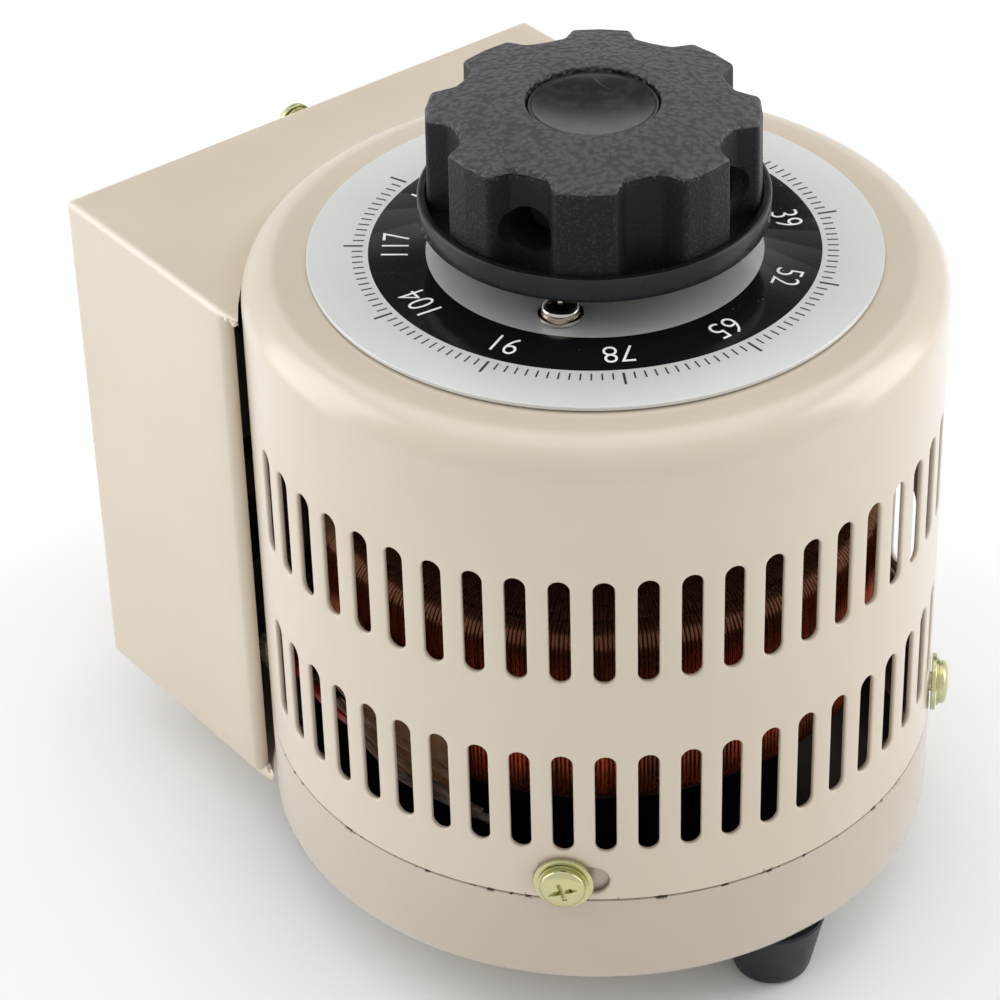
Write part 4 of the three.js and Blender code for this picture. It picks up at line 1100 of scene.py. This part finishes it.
def knob_finish():
    """Moulded black: leather grain on the top with painted highlights on its pebbles, sand-blasted sides,
    and wear to grey on the edges.
    """
    n = Nodes("knob_plastic")
    x, y, z = n.axes()
    r = n.radius(x, y)
    on_top = n.ramp(z, KNOB_EDGE - 0.5, KNOB_EDGE - 0.1)
    wrinkles = n.cells(0.95, "SMOOTH_F1")
    pebbles = n.math("ADD", n.ramp(wrinkles, 0.15, 0.75, 1.0, 0.0),
                     n.math("MULTIPLY", n.noise(1.1, 3.0, 0.6), 0.9))
    sand = n.noise(1.8, 3.0, 0.7)
    height = n.math("ADD", n.math("MULTIPLY", pebbles, on_top),
                    n.math("MULTIPLY", n.math("MULTIPLY", sand, 0.8), n.math("SUBTRACT", 1.0, on_top)))
    edge = n.ramp(n.math("ABSOLUTE", n.math("SUBTRACT", z, KNOB_EDGE - 0.5)), 0.1, 1.0, 1.0, 0.0)
    crown = n.ramp(r, LOBE_R - 1.2, LOBE_R - 0.3)
    wear = n.math("MULTIPLY", n.math("MAXIMUM", edge, n.math("MULTIPLY", crown, 0.4)),
                  n.ramp(n.noise(2.0, 3.0, 0.7), 0.52, 0.70))
    tone = n.mix(n.noise(0.12, 3.0), (0.006, 0.006, 0.009), (0.011, 0.011, 0.016))
    # Painted highlight: the tops of the grain's pebbles are coloured lighter.
    pebble_highlights = n.math("MULTIPLY", n.ramp(pebbles, 0.75, 1.25), on_top)
    tone = n.mix(n.math("MULTIPLY", pebble_highlights, 0.6), tone, (0.055, 0.056, 0.062))
    tone = n.mix(n.math("MULTIPLY", wear, 0.55), tone, (0.15, 0.155, 0.18))
    n.set(base_color=tone, roughness=n.mix(on_top, (0.42, 0.42, 0.42), (0.36, 0.36, 0.36)),
          specular_ior_level=n.ramp(on_top, 0, 1, 0.2, 0.6))
    return n.bump(height, 0.34, 1.0).material


knob_black = knob_finish()
skirt_black = moulded("skirt_plastic", (0.006, 0.006, 0.008), 0.2, 0.008, 0.6, spots=0.10)
lobes = carve(to_mesh("lobes", knob_lobes()), *[side_bore(d) for d in SET_SCREW_DEG])
make("knob_lobes", lobes, knob_black, "rotor", ["knob"], sharp=38)
make("knob_skirt", knob_skirt(), skirt_black, "rotor", sharp=50)


def cap_finish():
    n = Nodes("cap_gloss")
    tone = n.mix(n.noise(0.1), (0.012, 0.012, 0.014), (0.020, 0.020, 0.022))
    streaks = n.ramp(n.noise(0.5, 4.0, 0.7, (1.0, 0.08, 1.0)), 0.66, 0.70)
    tone = n.mix(n.math("MULTIPLY", streaks, 0.10), tone, (0.30, 0.30, 0.31))
    n.set(base_color=tone, roughness=n.ramp(n.noise(0.4), 0.3, 0.7, 0.12, 0.20),
          specular_ior_level=1.0)
    return n.bump(n.noise(0.1, 1.0), 0.012, 0.3).material


CAP_Z = drum_box("knob_cap")[1].z
cap = solid_turn([(11.9, CAP_Z - 1.4), (11.9, CAP_Z - 0.3), (11.75, CAP_Z - 0.05), (11.4, CAP_Z),
                  (10.9, CAP_Z - 0.08), (10, CAP_Z - 0.17), (8.5, CAP_Z - 0.32), (7, CAP_Z - 0.43),
                  (5, CAP_Z - 0.53), (3, CAP_Z - 0.59), (1, CAP_Z - 0.61)], 96)
make("cap_disc", cap, cap_finish(), "rotor", ["knob_cap"], sharp=60)

# ------------------------------------------------------------------ the winding

COIL_LOW, COIL_HIGH = drum_box("winding")
COIL_R, COIL_BOTTOM, COIL_TOP = COIL_HIGH.x, COIL_LOW.z, COIL_HIGH.z
COIL_GAP = 29
WIRE_R = 0.39
TURNS = 400
GROOVE_R = 50.7


def turn_outline(out):
    """One turn's path over the top, down the outside and under, at a distance out from the core."""
    r = 5.0 - out
    points = [(27, COIL_TOP - out), (36, COIL_TOP - out), (44, COIL_TOP - out),
              (49.2, COIL_TOP - out), (50.0, COIL_TOP - out - 0.15),
              (GROOVE_R, COIL_TOP - out - 0.55), (51.4, COIL_TOP - out - 0.25)]
    points += arc(COIL_R - 5.0, COIL_TOP - 5.0, r, 78, 0, 5)
    points += [(COIL_R - out, (COIL_TOP + COIL_BOTTOM) / 2)]
    points += arc(COIL_R - 5.0, COIL_BOTTOM + 5.0, r, 0, -90, 4)
    return [*points, (44, COIL_BOTTOM + out)]


def winding_shape():
    made = Shape()
    rng = random.Random(11)
    path = turn_outline(WIRE_R)
    span = 360 - COIL_GAP
    for i in range(TURNS):
        degrees = 270 + COIL_GAP / 2 + span * (i + 0.5) / TURNS
        lean = rng.uniform(-0.10, 0.10)
        lift = rng.uniform(-0.06, 0.06)
        points = []
        for k, (r, z) in enumerate(path):
            x, y = polar(r + lift, degrees + lean * math.sin(0.7 * k + i))
            points.append((x, y, z))
        made.join(tube(points, WIRE_R * rng.uniform(0.97, 1.03), 6))
    return made


def winding_core():
    """What lies under the turns: the earlier layers, seen only between wires."""
    outline = turn_outline(2 * WIRE_R)
    outline += [(COIL_LOW.x + COIL_R + 24 + 1, COIL_BOTTOM + 1), (25, COIL_TOP - 1)]
    rows = []
    for i in range(73):
        degrees = 270 + COIL_GAP / 2 + (360 - COIL_GAP) * i / 72
        rows.append([(*polar(r, degrees), z) for r, z in outline])
    made = Shape().grid(rows, kind=0)
    made.grid([[row[-1], row[0]] for row in rows])
    return made.add(rows[0], [tuple(range(len(outline)))]).add(
        rows[-1], [tuple(range(len(outline)))[::-1]])


def copper_finish():
    n = Nodes("enamelled_copper")
    x, y, z = n.axes()
    angle = n.math("MULTIPLY", n.math("ARCTAN2", y, x), TURNS / (2 * math.pi) * 360 / (360 - COIL_GAP))
    white = n.new("ShaderNodeTexWhiteNoise", noise_dimensions="1D")
    n.put(white.inputs["W"], n.math("FLOOR", angle))
    tone = n.mix(white.outputs["Value"], (0.30, 0.052, 0.016), (0.58, 0.098, 0.028))
    tone = n.mix(n.ramp(n.noise(0.08, 3.0), 0.4, 0.7), tone, (0.17, 0.05, 0.022))
    tone = n.mix(n.ramp(z, COIL_TOP - 9, COIL_TOP - 1), tone, (0.20, 0.085, 0.045))
    n.set(base_color=tone, metallic=0.8, roughness=n.ramp(n.noise(0.5), 0.3, 0.7, 0.18, 0.30))
    return n.bump(n.noise(0.6), 0.02, 0.4).material


copper = copper_finish()
make("winding_turns", winding_shape(), copper, nodes=["winding"], sharp=75, weld=0.0005)
make("winding_layers", winding_core(), moulded("coil_varnish", (0.035, 0.013, 0.008), 0.4),
     sharp=50)

# ------------------------------------------------------------------ clear sleeving tubes, with no lead inside

SLEEVE_R = 61.0
SLEEVE_THICK = 0.85
SLEEVE_STEPS = 12
# Each sleeve: start and stop in degrees round the drum, height at the start and at the stop.
SLEEVES = ((-6, 25, 66, 56), (-2, 30, 60, 50), (2, 33, 54.5, 48))
sleeve_clear = Nodes("clear_sleeving").set(
    base_color=(0.62, 0.50, 0.40, 1), roughness=0.1, transmission_weight=0.93, ior=1.3).material
for i, (start, stop, from_z, to_z) in enumerate(SLEEVES):
    path = []
    for k in range(SLEEVE_STEPS + 1):
        t = k / SLEEVE_STEPS
        wave = 0.5 * math.sin(9 * t + i)
        path.append((*polar(SLEEVE_R + 0.5 * math.sin(7 * t + 2 * i), start + (stop - start) * t),
                     from_z + (to_z - from_z) * t + wave))
    make(f"sleeve_{i + 1}", tube(path, SLEEVE_THICK, 12), sleeve_clear, sharp=80)

# ------------------------------------------------------------------ the voltmeter

METER_BACK = drum_box("meter_case")[0].y
PIVOT_Z = METER_Z - 12
ADJUSTER_Z = METER_Z - METER_H / 2 + 6.5
METER_ZERO_DEG, METER_SPAN_DEG, METER_MAX = 135, 90, 150
NEEDLE_LIFT = 5.7  # in front of the panel
FIGURE_R = 20.6

black_case = moulded("black_moulding", (0.018, 0.018, 0.020), 0.34, 0.012, 1.2)
gloss_black = moulded("gloss_moulding", (0.008, 0.008, 0.009), 0.12)
card = moulded("meter_card", (0.80, 0.79, 0.74), 0.55)


def clear_finish():
    n = Nodes("clear_moulding")
    n.set(base_color=(0.93, 0.96, 0.97, 1), roughness=n.ramp(n.noise(0.2), 0.3, 0.7, 0.02, 0.06),
          transmission_weight=1.0, ior=1.45)
    return n.material


def meter_case_shape():
    rim = plate(rect_loop(METER_W, METER_H, 3), [ellipse_loop(19.5)], 3.0, 0.3)
    barrel = closed_turn([(19.5, -19.9), (20.6, -20), (21, -19.6), (21, 0.2), (19.5, 0.2)], 64)
    floor = solid_turn([(20.6, -20), (20.6, -18)], 64)
    return rim.join(barrel, floor).moved(on_panel(0, METER_Z, PANEL_FACE - 0.3))


def meter_window_shape():
    """A clear lid, open at the back, with a hole for the adjuster."""
    hole = shifted(ellipse_loop(2.6, 24), 0, ADJUSTER_Z - METER_Z)
    outer, inner = rect_loop(METER_W, METER_H, 3.0), rect_loop(METER_W - 3.2, METER_H - 3.2, 2.0)
    high = METER_BACK - METER_LOW.y
    made = Shape()
    rows = [[(*p, z) for p in outer(g)] for g, z in
            ((0, 0), (0, high - 1.4), (-0.15, high - 0.7), (-0.6, high - 0.15), (-1.3, high))]
    rows += [[(*p, z) for p in inner(0)] for z in (high - 1.6, 0)]
    made.grid(rows[:5], close=True).grid(rows[5:], close=True, flip=True)
    made.grid([rows[-1], rows[0]], close=True, flip=True)
    for loop, z in ((outer(-1.3), high), (inner(0), high - 1.6)):
        points, faces = fill(loop, [hole(0)])
        made.add([(*p, z) for p in points], faces)
    made.grid([[(*p, z) for p in hole(0)] for z in (high - 1.6, high)], close=True)
    return made.moved(on_panel(0, METER_Z, METER_BACK))


make("meter_housing", meter_case_shape(), black_case, nodes=["meter_case"])
make("meter_lens", meter_window_shape(), clear_finish(),
     nodes=["meter_window"])
make("meter_face", plate(rect_loop(METER_W - 6, METER_H - 15, 1.5), [
    shifted(ellipse_loop(3.0, 24), 0, PIVOT_Z - METER_Z - 4.5)], 0.8, 0.15).moved(
        on_panel(0, METER_Z + 4.5, PANEL_FACE - 3.6)), card, nodes=["meter_dial"])
FACE_Y = PANEL_FACE - 4.4
meter_marks = []
for i in range(31):
    long = i % 10 == 0
    mid = i % 5 == 0
    meter_marks.append((24.2, 3.0 if long else 2.2 if mid else 1.4, 0.4 if long else 0.22,
                        METER_ZERO_DEG - METER_SPAN_DEG * i / 30))
rim_marks = [(24.0, 0.22, 0.46, METER_ZERO_DEG - METER_SPAN_DEG * i / 90) for i in range(91)]
make("meter_scale", ticks(meter_marks + rim_marks, 0.05), black_ink,
     place=on_panel(0, PIVOT_Z, FACE_Y))
for i, volts in enumerate((0, 50, 100, METER_MAX)):
    x, z = polar(FIGURE_R, METER_ZERO_DEG - METER_SPAN_DEG * volts / METER_MAX)
    lettering(f"meter_figure_{volts}", str(volts), 2.9, 0.05, black_ink, "frame",
              on_panel(x, PIVOT_Z + z, FACE_Y))
lettering("meter_unit", "V", 4.6, 0.05, black_ink, "frame",
          on_panel(0, PIVOT_Z + 11.5, FACE_Y))


def needle_shape():
    blade = Shape().grid([
        [(-0.5, -3.2, 0), (0.5, -3.2, 0), (0.5, -3.2, 0.3), (-0.5, -3.2, 0.3)],
        [(-0.42, 3, 0), (0.42, 3, 0), (0.42, 3, 0.3), (-0.42, 3, 0.3)],
        [(-0.28, 16, 0), (0.28, 16, 0), (0.28, 16, 0.3), (-0.28, 16, 0.3)],
        [(-0.08, 25.9, 0), (0.08, 25.9, 0), (0.08, 25.9, 0.2), (-0.08, 25.9, 0.2)]], close=True)
    boss = solid_turn([(2.0, -4), (2.2, -0.2), (2.2, 0.7), (1.9, 1.0), (0.8, 1.05)], 32)
    turn = Matrix.Rotation(math.radians(METER_ZERO_DEG - 90), 4, "Z")
    return blade.join(boss).moved(on_panel(0, PIVOT_Z, PANEL_FACE - NEEDLE_LIFT) @ turn)


make("needle_blade", needle_shape(), gloss_black, "needle", ["meter_needle"])
mask_low, mask_high = drum_box("meter_mask")
mask_mid = (mask_low.z + mask_high.z) / 2
make("meter_strip", plate(
    rect_loop(mask_high.x - mask_low.x, mask_high.z - mask_low.z, 1.8),
    [shifted(ellipse_loop(2.6, 24), 0, ADJUSTER_Z - mask_mid)],
    mask_high.y - mask_low.y, 0.25).moved(on_panel(0, mask_mid, mask_high.y)), gloss_black,
     nodes=["meter_mask"])
adjuster = carve(to_mesh("adjuster", solid_turn(
    [(2.2, 3.6), (2.2, 9.0), (2.05, 9.3), (1.8, 9.4)], 32)), block(-3, 3, -0.35, 0.35, 8.6, 10).moved(
        Matrix.Rotation(math.radians(15), 4, "Z")))
make("adjuster_head", adjuster, black_case, "adjuster", ["meter_adjuster"],
     place=on_panel(0, ADJUSTER_Z, PANEL_FACE - 0.3))

# ------------------------------------------------------------------ switch, outlet, fuse, gland

SEAT_Y = PANEL_FACE - 0.3


def switch_shape():
    w, h = SWITCH_HIGH.x - SWITCH_LOW.x - 3, SWITCH_HIGH.z - SWITCH_LOW.z - 3
    well = rect_loop(w - 4.8, h - 4.0, 0.6, 4)
    bezel = plate(rect_loop(w + 3, h + 3, 2.0), [well], 2.0, 0.5)
    outer = rect_loop(w - 2, h - 2, 0.4, 4)
    body = Shape()
    rows = [[(*p, z) for p in loop(0)] for loop, z in
            ((outer, 0.2), (outer, -16.2), (well, -16.2), (well, 0.2))]
    body.grid([*rows, rows[0]], close=True)
    points, faces = fill(well(0), [])
    body.add([(*p, -9.3) for p in points], faces)
    return bezel.join(body).moved(on_panel(SWITCH_X, SWITCH_Z, SEAT_Y))


rocker_low, rocker_high = drum_box("switch_rocker")
ROCKER_TILT = 10
ROCKER_PIVOT_Y = PANEL_FACE + 1.5


def rocker_shape():
    """A concave rocker, its two faces meeting in a shallow valley."""
    half_w = (rocker_high.x - rocker_low.x) / 2
    half_h = 11.1
    profile = [(-half_h, 0.2), (-half_h, 2.7), (-half_h + 0.15, 3.05), (-half_h + 0.6, 3.2)]
    profile += [(half_h * t, 1.6 + 1.6 * abs(t) ** 1.3) for t in (-0.8, -0.6, -0.4, -0.2, -0.08, 0,
                                                                   0.08, 0.2, 0.4, 0.6, 0.8)]
    profile += [(half_h - 0.6, 3.2), (half_h - 0.15, 3.05), (half_h, 2.7), (half_h, 0.2),
                (3, -4.4), (-3, -4.4)]
    rows = []
    for x, shrink in ((-half_w, 0.35), (-half_w + 0.12, 0.12), (-half_w + 0.4, 0.0),
                      (half_w - 0.4, 0.0), (half_w - 0.12, 0.12), (half_w, 0.35)):
        rows.append([(x, v * (1 - shrink / half_h), w - shrink) for v, w in profile])
    made = Shape().grid(rows, close=True)
    made.add(rows[0], [tuple(range(len(profile)))]).add(rows[-1], [tuple(range(len(profile)))[::-1]])
    return made


rocker_place = on_panel(SWITCH_X, SWITCH_Z, ROCKER_PIVOT_Y) @ Matrix.Rotation(
    math.radians(ROCKER_TILT), 4, "X")
red_plastic = moulded("red_moulding", (0.50, 0.012, 0.015), 0.2, 0.01, 0.8)
make("switch_housing", switch_shape(), black_case, nodes=["switch_body"])
make("rocker_cap", rocker_shape(), red_plastic, "rocker", ["switch_rocker"],
     place=rocker_place)
make("rocker_bar", plate(rect_loop(0.8, 4.2, 0.3, 3), [], 0.06, 0.02), white_ink, "rocker",
     place=rocker_place @ Matrix.Translation((0, 6.0, 2.32))
     @ Matrix.Rotation(math.radians(9), 4, "X"))
make("rocker_ring", plate(ellipse_loop(2.1, 32), [ellipse_loop(1.5, 32)], 0.06, 0.02), white_ink,
     "rocker", place=rocker_place @ Matrix.Translation((0, -6.0, 2.32))
     @ Matrix.Rotation(math.radians(-9), 4, "X"))


def outlet_shape():
    slots = [rect_loop(2.2, 8.0, 0.3, 3, (-6.35, 3)), rect_loop(2.2, 6.6, 0.3, 3, (6.35, 3)),
             shifted(ellipse_loop(2.6, 28), 0, -6.5)]
    face = plate(rect_loop(OUTLET_W, OUTLET_H, 4.0), slots, 3.0, 0.5, 0.05)
    raised = rect_loop(OUTLET_W - 6, OUTLET_H - 6, 3.0)
    body = Shape()
    rows = [[(*p, z) for p in raised(g)] for g, z in ((0, 0.1), (0, -18.8), (-0.4, -19.2))]
    body.grid(rows, close=True)
    points, faces = fill(raised(-0.4), [])
    body.add([(*p, -19.2) for p in points], faces)
    for loop in slots:
        body.grid([[(*p, z) for p in loop(0)] for z in (0.3, -14)], close=True)
        points, faces = fill(loop(0), [])
        body.add([(*p, -14) for p in points], faces)
    return face.join(body).moved(on_panel(OUTLET_X, OUTLET_Z, SEAT_Y))


def ridge(outer, z, r=0.4):
    """A half-round bead that follows an outline."""
    rows = []
    for a in range(0, 181, 30):
        rows.append([(*p, z + r * math.sin(math.radians(a)))
                     for p in outer(r * math.cos(math.radians(a)))])
    return Shape().grid(rows, close=True)


make("outlet_body", outlet_shape(), black_case, nodes=["outlet"])
make("outlet_border", ridge(rect_loop(OUTLET_W - 7, OUTLET_H - 6, 3.0), 2.95).moved(
    on_panel(OUTLET_X, OUTLET_Z, SEAT_Y)), black_case, sharp=70)


def knurled(profile, teeth, depth, steps=4):
    """A turned outline whose wall at full depth is cut into rounded teeth."""
    rows = []
    for r, z, knurl in profile:
        rows.append([(*polar(max(r - knurl * depth * (0.5 - 0.5 * math.cos(2 * math.pi * j / steps)), 0),
                             360 * j / (teeth * steps)), z) for j in range(teeth * steps)])
    return Shape().grid(rows, close=True)


FUSE_MOUTH = 2.2  # the collar's height
collar = closed_turn([(4.3, 0), (7.6, 0), (7.8, 0.3), (7.8, 1.8), (7.4, FUSE_MOUTH),
                      (4.5, FUSE_MOUTH), (4.3, 2.0)], 48)
barrel = closed_turn([(4.3, 1), (6, 1), (6, -28), (0, -28), (0, -26), (4.3, -26)], 48)
make("fuse_body", collar.join(barrel), black_case, nodes=["fuse_holder"],
     place=on_panel(FUSE_X, FUSE_Z, SEAT_Y))
fuse_cap = knurled([(0, 0.3, 0), (6.2, 0.3, 0), (6.55, 0.7, 0), (6.6, 1.4, 0), (6.6, 1.8, 1),
                    (6.6, 6.4, 1), (6.5, 7.0, 0), (6.2, 7.8, 0), (5.5, 8.4, 0), (0, 8.4, 0)], 30, 0.4)
fuse_mesh = carve(to_mesh("fuse_cap", fuse_cap), block(-5, 5, -0.7, 0.7, 7.2, 9))
make("fuse_grip", fuse_mesh, black_case, "fuse_twist_cap", ["fuse_cap"],
     place=on_panel(FUSE_X, FUSE_Z, SEAT_Y - FUSE_MOUTH))
make("fuse_stem", closed_turn([(2.8, 0.2), (3.9, 0.2), (3.9, -4.8), (3.7, -5), (2.8, -5)], 36),
     black_case, "fuse_twist_cap", place=on_panel(FUSE_X, FUSE_Z, SEAT_Y - FUSE_MOUTH))


def hex_collar(across_r, bore, z0, z1, chamfer=0.8):
    """A hexagon nut's body with its corners turned off."""
    rows = []
    for z, out in ((z0, 0), (z0, 1), (z0 + chamfer * 0.6, 2), (z1 - chamfer * 0.6, 2), (z1, 1), (z1, 0)):
        row = []
        for j in range(72):
            a = 5 * j
            flat = across_r * math.cos(math.pi / 6) / math.cos(math.radians((a % 60) - 30))
            r = (bore, min(flat, across_r * 0.90), flat)[out]
            row.append((*polar(r, a), z))
        rows.append(row)
    return Shape().grid([*rows, rows[0]], close=True)


GLAND_R = 9.0
gland_dome = knurled([(3.6, 4.2, 0), (8.0, 4.2, 0), (8.2, 4.5, 0), (8.2, 5.4, 1), (8.2, 9.2, 1),
                      (7.9, 10.6, 1), (7.2, 12.9, 0), (6.4, 14.4, 0), (5.2, 15.2, 0), (4.0, 15.2, 0),
                      (3.6, 14.8, 0), (3.6, 4.2, 0)], 18, 0.45)
gland_body = closed_turn([(3.6, -9), (6, -9), (6, 0.2), (3.6, 0.2)], 48)
make("gland_parts", hex_collar(GLAND_R, 3.6, 0, 4.4).join(gland_dome, gland_body), black_case,
     nodes=["cable_gland"], place=on_panel(GLAND_X, GLAND_Z, SEAT_Y), sharp=30)
rubber_seal = closed_turn([(3.65, 14.2), (5.0, 14.2), (5.0, 14.9), (4.2, 15.0), (3.65, 14.8)], 48)
make("gland_seal", rubber_seal, rubber, place=on_panel(GLAND_X, GLAND_Z, SEAT_Y))

# ------------------------------------------------------------------ materials of the CAD's own pieces

FINISHES = {
    "plain_steel": metal("turned_steel", (0.45, 0.45, 0.46), 0.32, (1, 1, 20)),
    "black_iron": metal("blackened_steel", (0.02, 0.02, 0.022), 0.6),
    "phenolic": moulded("phenolic_board", (0.13, 0.058, 0.018), 0.35, 0.02, 0.6),
    "cast_aluminium": metal("bead_blasted", (0.5, 0.5, 0.52), 0.5, depth=0.03),
    "brass": metal("machined_brass", (0.62, 0.42, 0.16), 0.28),
    "carbon": moulded("carbon_block", (0.02, 0.02, 0.022), 0.5, 0.02, 2.0),
    "matt_black": black_case,
    # Painted shade: the red insulation is coloured darker than red wire is, because the leads sit in shadow.
    "red_insulation": moulded("red_wire_painted_shade", (0.16, 0.004, 0.008), 0.3),
    "brown_insulation": moulded("brown_wire", (0.12, 0.05, 0.025), 0.35),
    "fuse_glass": clear_finish(),
}
# Painted shade: the base insulator and clamp disc are coloured near black instead of their slot's finish,
# because they lie unlit inside the drum.
board_painted_shade = moulded("board_painted_shade", (0.022, 0.012, 0.008), 0.5, 0.02, 0.6)
slot_of = {entry["node"]: entry["material_slot"] for entry in frame["record"]["subparts"]}
for node, thing in frame["nodes"].items():
    finish = FINISHES.get(slot_of[node])
    finish = {"base_insulator": board_painted_shade, "clamp_disc": board_painted_shade}.get(node, finish)
    if finish and not thing.hide_render:
        thing.data.materials.clear()
        thing.data.materials.append(finish)

# ------------------------------------------------------------------ floor, light and camera


def floor():
    half = 3.0
    mesh = bpy.data.meshes.new("floor")
    mesh.from_pydata([(-half, -half, 0), (half, -half, 0), (half, half, 0), (-half, half, 0)], [],
                     [(0, 1, 2, 3)])
    thing = bpy.data.objects.new("floor", mesh)
    bpy.context.scene.collection.objects.link(thing)
    n = Nodes("floor_paper")
    n.set(base_color=n.mix(n.noise(0.003), (0.93, 0.93, 0.93), (0.91, 0.91, 0.91)), roughness=0.7,
          specular_ior_level=0.2)
    mesh.materials.append(n.material)


VIEW_DEG = 53.0
ELEVATION_DEG = 35.52
ROLL_DEG = -1.71
DISTANCE = 701.0
AIM_SIDE, AIM_Z = -18.8, 80.5
LENS = 130.9
FLAG_DEG = 41  # height of the dark flag above the horizon
FLAG_FADE = (0.945, 0.985)  # cosines of the angles at which it starts and is full
SKY_STRENGTH, FLAG_STRENGTH = 0.82, 0.06


def camera_axes():
    """The camera's right, up and forward directions."""
    e, roll = math.radians(ELEVATION_DEG), math.radians(ROLL_DEG)
    out = Vector((*polar(1, VIEW_DEG), 0))
    right = Vector((*polar(1, VIEW_DEG + 90), 0))
    forward = -out * math.cos(e) - Vector((0, 0, math.sin(e)))
    up = right.cross(forward)
    side = right * math.cos(roll) + up * math.sin(roll)
    return side, up * math.cos(roll) - right * math.sin(roll), forward, right


def camera():
    side, up, forward, right = camera_axes()
    aim = right * AIM_SIDE + Vector((0, 0, AIM_Z))
    place = TO_FRAME @ (aim - forward * DISTANCE)
    data = bpy.data.cameras.new("camera")
    data.lens, data.sensor_width = LENS, 36
    data.clip_start, data.clip_end = 0.05, 20
    thing = bpy.data.objects.new("camera", data)
    bpy.context.scene.collection.objects.link(thing)
    turn = Matrix((side, up, -forward)).transposed().to_4x4()
    thing.matrix_world = Matrix.Translation(place) @ turn
    bpy.context.scene.camera = thing


def softbox(name, side, up, out, size, power, target=(0, 0, 80)):
    """An area light placed from the object's middle by camera side, height and towards the camera."""
    right = camera_axes()[3]
    toward = Vector((*polar(1, VIEW_DEG), 0))
    place = right * side + toward * out + Vector((0, 0, up))
    data = bpy.data.lights.new(name, "AREA")
    data.shape, data.size, data.size_y, data.energy = "RECTANGLE", size[0], size[1], power
    thing = bpy.data.objects.new(name, data)
    bpy.context.scene.collection.objects.link(thing)
    goal = TO_FRAME @ Vector(target)
    thing.location = TO_FRAME @ place
    thing.rotation_mode = "QUATERNION"
    thing.rotation_quaternion = (goal - thing.location).to_track_quat("-Z", "Y")


def studio_world():
    """Even white light, with a soft dark flag opposite the camera for the blacks to mirror."""
    world = bpy.data.worlds.new("studio")
    world.use_nodes = True
    tree = world.node_tree
    facing = tree.nodes.new("ShaderNodeVectorMath")
    facing.operation = "DOT_PRODUCT"
    facing.inputs[1].default_value = (*polar(-math.cos(math.radians(FLAG_DEG)), VIEW_DEG),
                                      math.sin(math.radians(FLAG_DEG)))
    tree.links.new(tree.nodes.new("ShaderNodeTexCoord").outputs["Generated"], facing.inputs[0])
    flag = tree.nodes.new("ShaderNodeMapRange")
    flag.interpolation_type = "SMOOTHSTEP"
    for key, value in (("From Min", FLAG_FADE[0]), ("From Max", FLAG_FADE[1]),
                       ("To Min", SKY_STRENGTH), ("To Max", FLAG_STRENGTH)):
        flag.inputs[key].default_value = value
    tree.links.new(facing.outputs["Value"], flag.inputs["Value"])
    background = tree.nodes["Background"]
    tree.links.new(flag.outputs[0], background.inputs["Strength"])
    background.inputs["Color"].default_value = (1, 1, 1, 1)
    bpy.context.scene.world = world
    bpy.context.scene.view_settings.view_transform = "Standard"


floor()
camera()
softbox("key_left", -900, 360, -160, (0.6, 1.2), 4.5)
softbox("fill_right", 900, 340, -100, (0.5, 1.2), 4.2)
softbox("top", 0, 1100, -300, (1.2, 1.2), 3)
studio_world()
